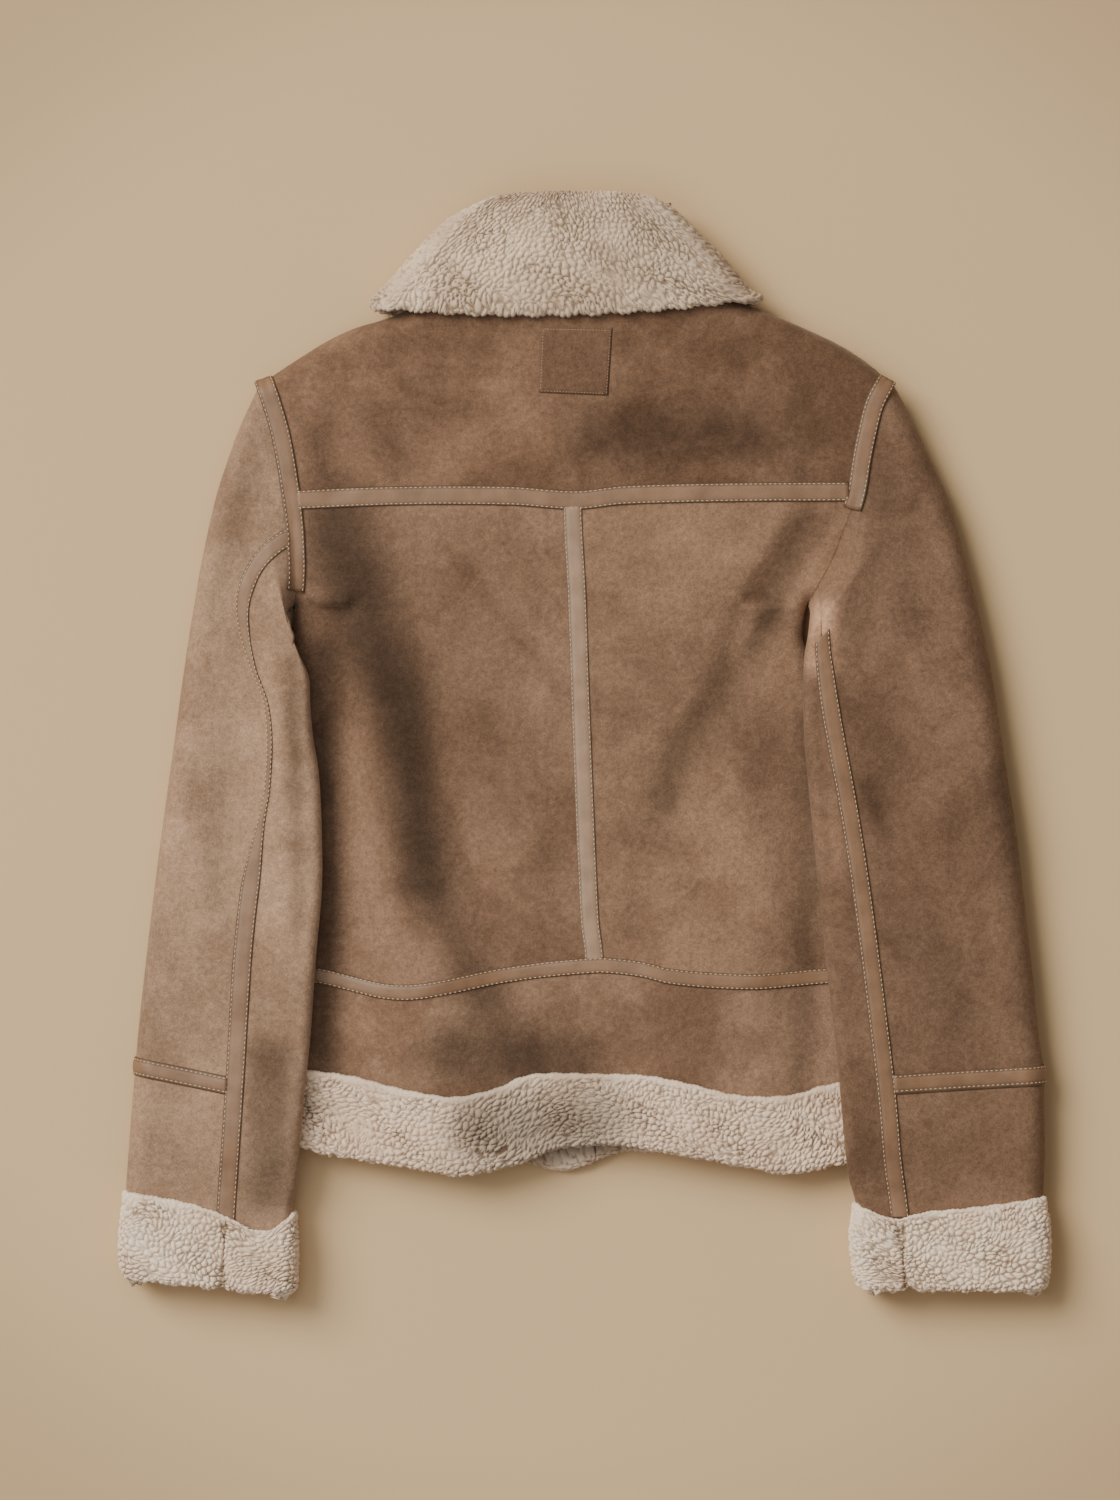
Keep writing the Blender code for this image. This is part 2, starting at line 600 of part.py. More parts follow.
def turned_edge(name, inside, outside, wall, seams):
    """Fleece turned back over the edge: a hidden leaf, the fold, and the leaf that shows."""
    face, back_face = [], []
    for points, normals in zip(*inside):
        face.append(list(points))
        back_face.append([p - n * wall for p, n in zip(points, normals)])
    for angle in (math.radians(45), math.radians(90), math.radians(135)):
        inner_line, outer_line = [], []
        for p, before, n in zip(inside[0][-1], inside[0][-2], inside[1][-1]):
            along = p - before
            along = (along - n * along.dot(n)).normalized()
            turn = along * math.sin(angle) - n * math.cos(angle)
            middle = p + n * (TURN_GAP / 2)
            inner_line.append(middle + turn * (TURN_GAP / 2))
            outer_line.append(middle + turn * (TURN_GAP / 2 + wall))
        face.append(inner_line)
        back_face.append(outer_line)
    for points, normals in zip(*outside):
        face.append([p + n * TURN_GAP for p, n in zip(points, normals)])
        back_face.append([p + n * (TURN_GAP + wall) for p, n in zip(points, normals)])
    for side in seams:
        pull_in(face, side, SEAM_GAP / 2)
        pull_in(back_face, side, SEAM_GAP / 2)
    return wall_piece(name, face, back_face, FLEECE)


def hem(name, across, edge, start_top, start_down, face):
    start = body_grid(across, [start_down], start_top, HEM_TOP, face)
    leaf = body_grid(across, HEM_DOWNS, HEM_TOP, edge, face)
    inside = [start[k] + leaf[k][2:] for k in (0, 1)]
    pull_in(inside[0], "first_row", SEAM_GAP)
    outside = [leaf[k][::-1] for k in (0, 1)]
    turned_edge(name, inside, outside, FLEECE_WALL, ("first_column", "last_column"))


# Turned-up fleece hem: the back in one, the fronts apart at the opening.
hem("hem_back", BACK_ACROSS, HEM_EDGE, WAIST_SEAM, BAND_DOWNS[-1], 1)
for name, sign in (("hem_front_left", -1), ("hem_front_right", 1)):
    across = sorted(sign * u for u in FRONT_HALF)
    hem(name, across, FRONT_HEM_EDGE, FRONT_TOP, FRONT_DOWNS[-1], -1)


def collar_section(row):
    """Points round the neck, from the front opening over the back and to the front again."""
    left, right, left_y, middle_y, right_y, front_y, low, high, turn = row
    half, width = (high - low) / 2, right - left
    stations = [(f, -1, 90) for f in (0.48, 0.36, 0.2)] + [(None, -1, a) for a in (90, 60, 30)]
    stations += [(None, 1, a) for a in (0, 30, 60, 90)] + [(f, 1, 90) for f in (0.16, 0.3, 0.45, 0.5)]
    mirrored = [(None if f is None else 1 - f, face, a) for f, face, a in stations[::-1]]
    points = []
    for number, (fraction, face, degrees) in enumerate(stations[:-1] + mirrored):
        side = -1 if number < len(stations) else 1
        angle = math.radians(degrees)
        radius = COLLAR_RADIUS
        if fraction is None:
            reach = radius * (1 - math.cos(angle)) / width
            fraction = reach if side < 0 else 1 - reach
        drop = middle_y if face > 0 else front_y
        y = mix(left_y, right_y, fraction)
        y += (drop - (left_y + right_y) / 2) * 4 * fraction * (1 - fraction)
        outward = Vector((side * math.cos(angle) / radius, 0, face * math.sin(angle) / half)).normalized()
        point = Vector((left + width * fraction, y, low + half * (1 + face * math.sin(angle))))
        swing = math.radians(turn)
        points.append((point, Vector((0, 1, 0)) * math.sin(swing) - outward * math.cos(swing)))
    return points


collar_face, collar_back = [], []
for section in COLLAR_SECTIONS:
    line = collar_section(section)
    collar_face.append([p for p, away in line])
    collar_back.append([p + away * COLLAR_WALL for p, away in line])
wall_piece("collar", collar_face, collar_back, FLEECE)

# Each sleeve's tables, the level its armhole tape ends at and the section its seam tape starts at.
SLEEVES = (
    ("left", -1, LEFT_SLEEVE, LEFT_SLEEVE_SEAM, LEFT_CUFF_TAPE_ROWS, LEFT_CUFF_SECTIONS,
     LEFT_CUFF_DROP, 108, 1),
    ("right", 1, RIGHT_SLEEVE, RIGHT_SLEEVE_SEAM, RIGHT_CUFF_TAPE_ROWS, RIGHT_CUFF_SECTIONS,
     RIGHT_CUFF_DROP, 166, 4),
)
for label, side, sections, seam, tape_rows, cuff_sections, cuff_drop, tape_end, tape_start in SLEEVES:
    grid = sleeve_grid(side, seam, sections + cuff_sections[:2])
    pull_in(grid[0], "first_row", ARMHOLE_GAP - SEAM_GAP)
    upper = list(range(TAPE_SEAM, -1, -1)) + list(range(STATIONS - 1, FRONT_SEAM - 1, -1))
    under = list(range(TAPE_SEAM, FRONT_SEAM + 1))
    seams = ("first_row", "first_column", "last_column")
    panel(f"{label}_sleeve_upper", *columns_of(grid, upper, 0, tape_rows[1]), ALL_SEAMS)
    panel(f"{label}_cuff_panel", *columns_of(grid, upper, tape_rows[1]), seams)
    panel(f"{label}_sleeve_under", *columns_of(grid, under), seams)

    # The armhole tape lies half on the sleeve and half on the body.
    rows, normals = [], []
    edge = 0 if side < 0 else LAST
    for points, directions in list(zip(*yoke)) + list(zip(*back))[1:]:
        if points[edge].y < tape_end:
            break
        on_body = [edge - side * k for k in (0, 1, 2)]
        on_sleeve = [beside(grid[0][0], grid[k][1], points[edge].y) for k in (0, 1)]
        rows.append([on_sleeve[0]] + [points[j] for j in on_body])
        normals.append([on_sleeve[1]] + [directions[j] for j in on_body])
    tape(f"{label}_armhole_tape", rows, normals, (), ARMHOLE_TAPE_LIFT)

    strip = columns_of(grid, (TAPE_SEAM - 1, TAPE_SEAM, TAPE_SEAM + 1), tape_start, len(sections) - 1)
    tape(f"{label}_sleeve_tape", *strip, ("first_row",))
    cuff_strip = columns_of(grid, upper[1:], tape_rows[0], tape_rows[2])
    tape(f"{label}_cuff_tape", *cuff_strip, ("first_column",))

    # Cuff, closed round the sleeve at its back seam, its upper edge uneven on the back.
    around = [j for j in range(TAPE_SEAM, STATIONS) if j not in CUFF_SKIPS]
    around += [j for j in range(TAPE_SEAM + 1) if j not in CUFF_SKIPS]
    cuff = sleeve_grid(side, seam, sections + cuff_sections)
    points, normals = columns_of(cuff, around, len(sections))
    inside = [points[1:], normals[1:]]
    pull_in(inside[0], "first_row", HIDDEN_GAP)
    outside = [points[::-1], normals[::-1]]
    outer_x, width = cuff_sections[0][0], cuff_sections[0][2] - cuff_sections[0][0]
    edge_line = []
    for point, below, normal in zip(points[0], points[1], normals[0]):
        drop = curve_at(cuff_drop, (point.x - outer_x) / width) if normal.z > 0 else 0.0
        edge_line.append(mix(point, below, min(0.8, -drop / (point - below).length)))
    outside[0][-1] = edge_line
    turned_edge(f"{label}_cuff", inside, outside, FLEECE_WALL, ("first_column", "last_column"))
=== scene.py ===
"""A cropped suede jacket with fleece edges, spread face down on a pale floor."""
import math

import bmesh
import bpy
import numpy as np
from mathutils import Matrix, Vector


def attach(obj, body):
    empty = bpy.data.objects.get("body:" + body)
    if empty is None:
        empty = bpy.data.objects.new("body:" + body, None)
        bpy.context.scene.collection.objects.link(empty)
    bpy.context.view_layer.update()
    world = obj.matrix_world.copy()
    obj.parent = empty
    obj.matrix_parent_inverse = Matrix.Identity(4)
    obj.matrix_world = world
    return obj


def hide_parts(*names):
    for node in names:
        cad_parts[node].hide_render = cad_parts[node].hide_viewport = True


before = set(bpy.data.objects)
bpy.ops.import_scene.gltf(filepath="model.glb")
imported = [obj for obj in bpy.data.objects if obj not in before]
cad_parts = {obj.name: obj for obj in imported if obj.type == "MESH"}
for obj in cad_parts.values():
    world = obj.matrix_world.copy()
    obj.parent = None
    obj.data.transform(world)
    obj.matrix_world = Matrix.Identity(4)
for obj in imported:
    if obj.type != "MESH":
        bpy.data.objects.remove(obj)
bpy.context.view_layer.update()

# ----------------------------------------
# Back yoke: one piece of lined suede across the shoulders, cut with a curved neckline and sewn
# to both back panels. It is the first piece laid, so the form of the lying body is set out here:
# its outlines, how high the back lies over the floor, and the folds pressed into it (in mm).
TOP_EDGE = [
    (-224, 256), (-202, 270.5), (-180, 284), (-160, 293), (-140, 299), (-116, 308), (-92, 317),
    (-60, 309), (-4, 304), (50, 311), (84, 321), (104, 313), (125, 305), (150, 295),
    (174, 284), (188, 276), (202, 266), (212, 257),
]
NECK_POINTS = (-92, 84)
# columns: y, left x, right x
BODY_SIDES = [
    (257, -224, 212), (239, -218, 203), (220, -212.5, 198), (200, -208.5, 194), (180, -205.5, 191),
    (165, -203.5, 187), (150, -202, 181), (131, -201, 174), (116, -201.5, 166), (100, -203, 157),
    (88, -204.5, 154), (72, -205.5, 155), (50, -206, 164), (20, -207, 181), (0, -208, 189),
    (-100, -212, 203), (-200, -218, 208), (-310, -222, 212),
]
SHOULDER_TIP_Y, UNDERARM_Y = 257.0, 100.0
CENTRE_SEAM = [(300, -8), (166, -8), (106, -5), (19, -2), (-121, 4), (-148, 7), (-320, 8)]
YOKE_SEAM = [(-205, 172), (-132, 175), (-52, 175), (-6, 172), (28, 175.5), (108, 177.5), (192, 178)]
MM = 0.001
DETAIL = 1.0
SUEDE_WALL, PATCH_WALL = 1.8, 1.0
BODY_HEIGHT, SIDE_HEIGHT, HEM_HEIGHT, EDGE_RADIUS = 34.0, 22.0, 27.0, 12.0
# Where the back sinks: mm in from its sides, levels beside them, levels above the hem, and the
# middle and spread of the hollow under the right arm.
LOW_SIDE_REACH, LOW_SIDE_LEVELS, HEM_SLOPE = (40, 92), (88, 138), (-232, -160)
HOLLOW_X, HOLLOW_Y, HOLLOW_WIDTH, HOLLOW_LENGTH = 178, 122, 34, 26
FOLD_REACH = (36, 60)
# What the fronts lie on: the folded collar and the turned-up hem, and where they fade out.
ON_COLLAR, ON_HEM, COLLAR_MIDDLE = 8.6, 6.6, -12
COLLAR_LEVELS, COLLAR_REACH, HEM_LEVELS = (186, 226), (148, 172), (-216, -178)
# columns: start x, start y, end x, end y, half width, height
BACK_FOLDS = [
    (-172, 103, -98, -150, 20, 6.5), (-132, 105, -48, -165, 26, -5.0), (152, 146, 67, -16, 14, -6.5),
    (-104, 150, -24, 36, 15, 2.5), (-108, -176, -88, -300, 30, 3.5), (-28, -190, -6, -300, 30, -3.5),
    (52, -180, 70, -300, 30, 3.0), (30, 236, 128, 250, 26, -3.0), (-176, 190, -168, 260, 14, -2.5),
]
# Smaller creases, too fine for the solids.
BACK_CREASES = [
    (-196, 236, -176, 200, 7, -1.0), (-150, 262, -118, 214, 11, 1.1), (-96, 258, -40, 214, 12, -1.0),
    (46, 282, 112, 262, 10, -1.0), (140, 272, 176, 214, 10, -1.3), (-196, 150, -166, 76, 7, 1.5),
    (-186, 128, -150, 40, 6, -1.4), (138, 158, 96, 84, 8, 1.6), (176, 160, 120, 66, 6, -1.6),
    (-70, 146, -20, 92, 8, -0.9), (30, 150, 66, 60, 12, 1.0), (-150, -30, -108, -110, 9, 1.2),
    (-88, -40, -66, -130, 8, -1.2), (-30, -60, -44, -140, 12, 1.0), (60, -40, 44, -130, 13, -1.1),
    (150, 20, 128, -120, 12, 1.2), (-170, -180, -120, -214, 9, -1.2), (-60, -176, -26, -206, 8, 1.1),
    (90, -178, 140, -212, 10, -1.0),
]


def mix(a, b, t):
    return a + (b - a) * t


def soft_step(low, high, value):
    t = np.clip((np.asarray(value, float) - low) / (high - low), 0, 1)
    return t * t * (3 - 2 * t)


def curve(table, key, column=1):
    """A smooth curve through one column of a table, read at values of its first column."""
    rows = np.array(sorted(table), float)
    knots, values, last = rows[:, 0], rows[:, column], len(rows) - 1
    key = np.asarray(key, float)
    i = np.clip(np.searchsorted(knots, key) - 1, 0, last - 1)
    before, after = np.maximum(i - 1, 0), np.minimum(i + 2, last)
    span = knots[i + 1] - knots[i]
    t = (key - knots[i]) / span
    slope_low = (values[i + 1] - values[before]) / (knots[i + 1] - knots[before]) * span
    slope_high = (values[after] - values[i]) / (knots[after] - knots[i]) * span
    bend = (2 * t**3 - 3 * t**2 + 1) * values[i] + (t**3 - 2 * t**2 + t) * slope_low
    bend += (3 * t**2 - 2 * t**3) * values[i + 1] + (t**3 - t**2) * slope_high
    return np.where((t <= 0) | (t >= 1), values[i] + (values[i + 1] - values[i]) * t, bend)


def side_x(y, side):
    return curve(BODY_SIDES, y, 1 if side < 0 else 2)


def fold_height(x, y, table):
    """Soft ridges and troughs along the lines of a table, dying out past their ends."""
    total = np.zeros(np.broadcast(x, y).shape)
    for start_x, start_y, end_x, end_y, half_width, height in table:
        line_x, line_y = end_x - start_x, end_y - start_y
        length = math.hypot(line_x, line_y)
        t = ((x - start_x) * line_x + (y - start_y) * line_y) / length**2
        beyond = np.maximum(0, np.maximum(-t, t - 1)) * length
        across = ((x - start_x) * line_y - (y - start_y) * line_x) / length
        total += height * np.exp(-((across / half_width) ** 2) - (beyond / half_width) ** 2)
    return total


def back_height(x, y):
    reach = np.minimum(y, UNDERARM_Y)
    from_side = np.minimum(x - side_x(reach, -1), side_x(reach, 1) - x)
    low_side = (1 - soft_step(*LOW_SIDE_REACH, from_side)) * (1 - soft_step(*LOW_SIDE_LEVELS, y))
    hollow = np.exp(-(((x - HOLLOW_X) / HOLLOW_WIDTH) ** 2) - ((y - HOLLOW_Y) / HOLLOW_LENGTH) ** 2)
    height = BODY_HEIGHT - (BODY_HEIGHT - SIDE_HEIGHT) * np.maximum(low_side, hollow)
    height -= (1 - soft_step(*HEM_SLOPE, y)) * (BODY_HEIGHT - HEM_HEIGHT) * (1 - low_side)
    calm = np.where(y < UNDERARM_Y, soft_step(*FOLD_REACH, from_side), 1.0)
    return height + fold_height(x, y, BACK_FOLDS) * calm + fold_height(x, y, BACK_CREASES)


def front_height(x, y):
    on_collar = soft_step(*COLLAR_LEVELS, y) * (1 - soft_step(*COLLAR_REACH, np.abs(x - COLLAR_MIDDLE)))
    return ON_COLLAR * on_collar + ON_HEM * (1 - soft_step(*HEM_LEVELS, y))


rim_points = []
for side, low, high in ((-1, TOP_EDGE[0][0], NECK_POINTS[0]), (1, NECK_POINTS[1], TOP_EDGE[-1][0])):
    along = np.linspace(low, high, 13)
    rim_points.append(np.stack([along, curve(TOP_EDGE, along)], -1))
    along = UNDERARM_Y - np.arange(17) * 24.0
    rim_points.append(np.stack([side_x(along, side), along], -1))


def body_z(x, y, face):
    """Height of the back (face 1) or the fronts (face -1), rounded off at their common edges."""
    distance = np.full(x.shape, 1e9)
    for line in rim_points:
        for a, b in zip(line, line[1:]):
            step = b - a
            t = np.clip(((x - a[0]) * step[0] + (y - a[1]) * step[1]) / (step @ step), 0, 1)
            distance = np.minimum(distance, np.hypot(a[0] + step[0] * t - x, a[1] + step[1] * t - y))
    cosine = np.maximum(0, 1 - distance / EDGE_RADIUS)
    low = front_height(x, y)
    return low + (back_height(x, y) - low) / 2 * (1 + face * np.sqrt(1 - cosine**2))


def body_points(x, y, face=1):
    return np.stack([x, y, body_z(x, y, face)], -1)


def meeting_level(outline, side):
    y = curve(outline, 0)
    for _ in range(12):
        y = curve(outline, curve(CENTRE_SEAM, y) if side == 0 else side_x(y, side))
    return float(y)


def body_sheet(across, down, top, bottom, face=1):
    """Points between two outlines: across from -1 at the left side to 1, down from 0 to 1."""
    across, down = np.asarray(across, float)[None, :], np.asarray(down, float)[:, None]
    ends = [[meeting_level(outline, side) for side in (-1, 0, 1)] for outline in (top, bottom)]
    side = np.where(across < 0, 0, 2)
    side_top, side_low = np.array(ends[0])[side], np.array(ends[1])[side]
    mid_top, mid_low = ends[0][1], ends[1][1]
    reach = np.abs(across)

    def edge(level):
        return np.where(across < 0, side_x(level, -1), side_x(level, 1))

    top_x = mix(curve(CENTRE_SEAM, mid_top), edge(side_top), reach)
    low_x = mix(curve(CENTRE_SEAM, mid_low), edge(side_low), reach)
    x = mix(curve(CENTRE_SEAM, mix(mid_top, mid_low, down)), edge(mix(side_top, side_low, down)), reach)
    y = mix(curve(top, top_x), curve(bottom, low_x), down)
    return body_points(x, y, face)


def crowded(low, high, step, pull=0.65):
    """Even steps that crowd towards both ends, where the cloth turns round an edge."""
    count = max(4, round(step * DETAIL))
    t = np.linspace(0, 1, count + 1)
    return mix(low, high, mix(t, (1 - np.cos(np.pi * t)) / 2, pull))


def new_object(name, data):
    thing = bpy.data.objects.new(name, data)
    bpy.context.scene.collection.objects.link(thing)
    return thing


def new_piece(name, mesh, material):
    mesh.materials.append(material)
    return new_object(name, mesh)


def run_along(points, axis):
    """Mean distances from the first row (axis 0) or column (axis 1) of a grid of points."""
    return np.append(0, np.linalg.norm(np.diff(points, axis=axis), axis=-1).mean(1 - axis).cumsum())


def lay_cloth(name, points, wall, material, outward, masks):
    """A sheet of cloth through a grid of points in mm, with its flat length and width as UV."""
    rows, columns = points.shape[:2]
    cloth = bmesh.new()
    bmesh.ops.create_grid(cloth, x_segments=columns - 1, y_segments=rows - 1, size=1)
    mesh = bpy.data.meshes.new(name)
    cloth.to_mesh(mesh)
    cloth.free()
    place = np.empty(len(mesh.vertices) * 3)
    mesh.vertices.foreach_get("co", place)
    place = place.reshape(-1, 3)
    column = np.rint((place[:, 0] + 1) / 2 * (columns - 1)).astype(int)
    row = np.rint((place[:, 1] + 1) / 2 * (rows - 1)).astype(int)
    mesh.vertices.foreach_set("co", (points[row, column] * MM).ravel())
    flat = np.stack([run_along(points, 1)[column], run_along(points, 0)[row]], -1) * MM
    corner = np.empty(len(mesh.loops), int)
    mesh.loops.foreach_get("vertex_index", corner)
    mesh.uv_layers.new(name="cloth").data.foreach_set("uv", flat[corner].ravel())
    for key, values in masks.items():
        mesh.attributes.new(key, "FLOAT", "POINT").data.foreach_set("value", values[row, column])
    if outward < 0:
        mesh.flip_normals()
    mesh.shade_smooth()
    piece = new_piece(name, mesh, material)
    thick = piece.modifiers.new("wall", "SOLIDIFY")
    thick.thickness, thick.offset = wall * MM, -1
    return piece


def settle(piece, node, slot, **cut):
    """Parents a piece of cloth to the root and hides the CAD node it stands for; its slot and cut are not
    used.
    """
    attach(piece, "root")
    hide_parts(node)


def new_group(name, inputs, outputs):
    """A shader node group with named sockets, and its input and output nodes."""
    group = bpy.data.node_groups.new(name, "ShaderNodeTree")
    for kind, sockets in (("INPUT", inputs), ("OUTPUT", outputs)):
        for label, sort in sockets.items():
            group.interface.new_socket(name=label, in_out=kind, socket_type="NodeSocket" + sort)
    return group, group.nodes.new("NodeGroupInput").outputs, group.nodes.new("NodeGroupOutput").inputs


def put(tree, kind, **settings):
    """A node with its properties and inputs set; in_0 is its first input, and sockets are linked."""
    node = tree.nodes.new("ShaderNode" + kind)
    for key, value in settings.items():
        spot = int(key[3:]) if key.startswith("in_") else key
        if spot == key and key not in node.inputs:
            setattr(node, key, value)
        elif isinstance(value, bpy.types.NodeSocket):
            tree.links.new(value, node.inputs[spot])
        else:
            node.inputs[spot].default_value = value
    return node


def noise(where, scale, detail, rough, bent=0.0):
    return put(where.id_data, "TexNoise", Vector=where, Scale=scale, Detail=detail, Roughness=rough,
               Distortion=bent).outputs[0]


def ramp(value, low, high, to_low=0.0, to_high=1.0, ease="LINEAR"):
    """A value brought from one range to another."""
    node = put(value.id_data, "MapRange", Value=value, interpolation_type=ease)
    for key, number in zip(("From Min", "From Max", "To Min", "To Max"), (low, high, to_low, to_high)):
        node.inputs[key].default_value = number
    return node.outputs[0]


def times(value, factor, plus=0.0):
    tree = value.id_data
    return put(tree, "Math", operation="MULTIPLY_ADD", in_0=value, in_1=factor, in_2=plus).outputs[0]


def blend(share, low, high):
    return put(share.id_data, "Mix", data_type="RGBA", in_0=share, in_6=low, in_7=high).outputs[2]


def shade(colour, factor):
    return put(colour.id_data, "VectorMath", operation="SCALE", in_0=colour, Scale=factor).outputs[0]


def join(value, socket):
    value.id_data.links.new(value, socket)


# Suede's nap: cloudy strokes where a hand has brushed it, soft clumps, and a fine velvet grain. The colour
# is also scaled by a mask of nap tone together with painted light and painted shade.
suede_nap, given, result = new_group(
    "suede_nap",
    {"Dark": "Color", "Light": "Color", "Cloud": "Float", "Nap": "Float", "Shift": "Vector"},
    {"Color": "Color", "Roughness": "Float", "Height": "Float"},
)
where = put(suede_nap, "TexCoord").outputs["Object"]
moved = put(suede_nap, "VectorMath", in_0=where, in_1=given["Shift"]).outputs[0]
cloud = noise(moved, 11, 5, 0.58, 0.4)
blot = noise(moved, 42, 4, 0.6, 0.9)
clump = noise(moved, 260, 3, 0.6)
grain = noise(moved, 760, 3, 0.75)
brushed = times(cloud, 0.72, times(blot, 0.28))
lean = ramp(brushed, 0.36, 0.64, -0.5, 0.5, "SMOOTHSTEP")
spread = times(lean, given["Cloud"], 0.5)
tone = blend(spread, given["Dark"], given["Light"])
speck = ramp(grain, 0.3, 0.7, 0.74, 1.26)
tuft = ramp(clump, 0.3, 0.7, 0.82, 1.17)
# the grain is scaled by the mask of nap tone with painted light and painted shade
mottle_and_shading = times(times(speck, tuft), given["Nap"])
raised = times(clump, 0.55, times(grain, 0.35))
join(shade(tone, mottle_and_shading), result["Color"])
join(ramp(clump, 0, 1, 0.86, 1.0), result["Roughness"])
join(times(blot, 2.2, raised), result["Height"])


def new_material(name):
    material = bpy.data.materials.new(name)
    material.use_nodes = True
    return material, material.node_tree, material.node_tree.nodes["Principled BSDF"]


def finish_of(name, effect, given, masks, bump_strength, bump_depth, **shine):
    """A material of a group's colour, roughness and relief, with masks read from attributes."""
    material, tree, shader = new_material(name)
    group = tree.nodes.new("ShaderNodeGroup")
    group.node_tree = effect
    for key, value in given.items():
        group.inputs[key].default_value = value
    for key in masks:
        mask = put(tree, "Attribute", attribute_name=key.lower())
        join(mask.outputs["Fac"], group.inputs[key])
    join(group.outputs["Color"], shader.inputs["Base Color"])
    if "Roughness" in group.outputs:
        join(group.outputs["Roughness"], shader.inputs["Roughness"])
    bump = put(tree, "Bump", Height=group.outputs["Height"], Strength=bump_strength, Distance=bump_depth)
    join(bump.outputs[0], shader.inputs["Normal"])
    for key, value in shine.items():
        shader.inputs[key.replace("_", " ")].default_value = value
    return material


def suede(name, dark, light, cloud, shift):
    """Brushed suede between two tones, scaled by an attribute of nap tone with painted light and painted
    shade.
    """
    given = {"Dark": (*dark, 1), "Light": (*light, 1), "Cloud": cloud, "Shift": shift}
    return finish_of(name, suede_nap, given, ["Nap"], 0.7, 0.0007, Sheen_Weight=0.22,
                     Sheen_Roughness=0.45, Sheen_Tint=(0.95, 0.78, 0.62, 1), Specular_IOR_Level=0.18)


MOST_TONE_SHIFT = 1.25


def lay_suede(name, points, finish, outward, shading_strokes=(), wall=SUEDE_WALL):
    """A suede sheet, lighter or darker along strokes of nap tone with painted light and painted shade: x,
    y, x, y, half width, shift.
    """
    lean = MOST_TONE_SHIFT * np.tanh(fold_height(points[..., 0], points[..., 1], shading_strokes) / MOST_TONE_SHIFT)
    return lay_cloth(name, points, wall, finish, outward, {"nap": np.exp(lean)})


# nap tone on the back, with painted shade in its folds' hollows and beside the sleeves and painted light on
# its ridges: from x, y to x, y, half width, shift (below 0 is darker)
BACK_NAP_AND_SHADING_STROKES = [
    (-168, 160, -134, 50, 24, -1.00), (-176, 150, -152, 66, 17, -0.60),
    (-130, 36, -112, -92, 17, -1.35), (-112, -100, -70, -172, 15, -0.55),
    (-66, -177, -40, -222, 16, -0.40), (-94, -214, -10, -220, 20, -0.95),
    (-172, 60, -140, -142, 9, 0.05), (162, 179, 130, 88, 10, -0.40), (130, 92, 56, -36, 13, -0.50),
    (-101, 144, -17, 39, 6, -0.20), (162, 18, 151, -268, 11, -0.45), (-180, 67, -178, -282, 10, -0.70),
    (10, 216, 116, 218, 22, -0.75), (-185, 214, -178, 172, 12, -0.35), (151, 242, 151, 193, 12, -0.30),
    (-150, 236, -128, 200, 16, -0.25), (-118, 208, -73, 200, 12, 0.15), (78, 194, 123, 194, 7, 0.30),
    (-165, -195, -112, -195, 17, 0.24), (-180, 220, -120, 215, 20, -0.13),
    (-60, 250, -30, 210, 14, 0.12), (60, 150, 100, 132, 16, 0.12), (20, 20, 60, -60, 22, -0.12),
    (80, -60, 130, -120, 20, 0.12), (-82, 70, -60, -40, 22, -0.16), (-24, -40, -30, -140, 16, -0.12),
]
DENSE = 0.36
yoke_suede = suede("yoke_suede", (0.118, 0.064, 0.037), (0.232, 0.134, 0.083), 1.0, (0.31, 0.07, 0))


def lay_back(node, across, down, top, bottom, finish, flat, area):
    """A piece of the back, between two outlines, lying on the fronts."""
    points = body_sheet(across, down, top, bottom)
    piece = lay_suede(node + "_cloth", points, finish, -1, BACK_NAP_AND_SHADING_STROKES)
    settle(piece, node, "suede", flat=flat, held="laid", rests_on=["front_left", "front_right"], area=area)


lay_back("back_yoke", crowded(-1, 1, 430 * DENSE), crowded(0, 1, 150 * DENSE), TOP_EDGE, YOKE_SEAM,
         yoke_suede, (0.436, 0.150), 0.053)

# ----------------------------------------
# Back panels: two tall pieces of the same suede joined down the middle of the back, with soft
# folds running from the left armhole towards the waist and a sharper one at the right armhole.
WAIST_SEAM = [
    (-216, -159), (-187, -160.5), (-167, -165), (-140, -171), (-119, -171.5), (-92, -167),
    (-61, -161), (-31, -156.5), (0, -153.5), (15, -153), (41, -156), (59, -160.5), (90, -163.5),
    (120, -164.5), (143, -163), (168, -161), (208, -159),
]
left_suede = suede("back_left_suede", (0.142, 0.080, 0.048), (0.268, 0.160, 0.102), 0.8, (0.02, 0.4, 0))
right_suede = suede("back_right_suede", (0.158, 0.090, 0.055), (0.288, 0.174, 0.108), 0.8, (0.7, 0.2, 0))
for name, low, high, finish in (("back_left", -1, 0, left_suede), ("back_right", 0, 1, right_suede)):
    lay_back(name, crowded(low, high, 215 * DENSE), crowded(0, 1, 335 * DENSE, 0.2), YOKE_SEAM, WAIST_SEAM,
             finish, (0.216, 0.346), 0.068)

# ----------------------------------------
# Waistband: a shallow band of the same suede sewn under the two back panels, which ends beneath
# the turned-up hem.
HEM_TOP = [
    (-220, -220), (-195, -226), (-160, -231), (-137, -237), (-114, -242), (-90, -245), (-61, -239),
    (-46, -232), (-31, -229), (13, -229), (44, -230), (74, -236), (102, -243), (127, -245),
    (150, -243), (165, -238), (210, -230),
]
band_suede = suede("waistband_suede", (0.172, 0.098, 0.060), (0.290, 0.176, 0.113), 1.0, (0.1, 0.9, 0))
lay_back("back_waistband", crowded(-1, 1, 420 * DENSE), crowded(0, 1.22, 90 * DENSE, 0.1), WAIST_SEAM,
         HEM_TOP, band_suede, (0.428, 0.094), 0.039)

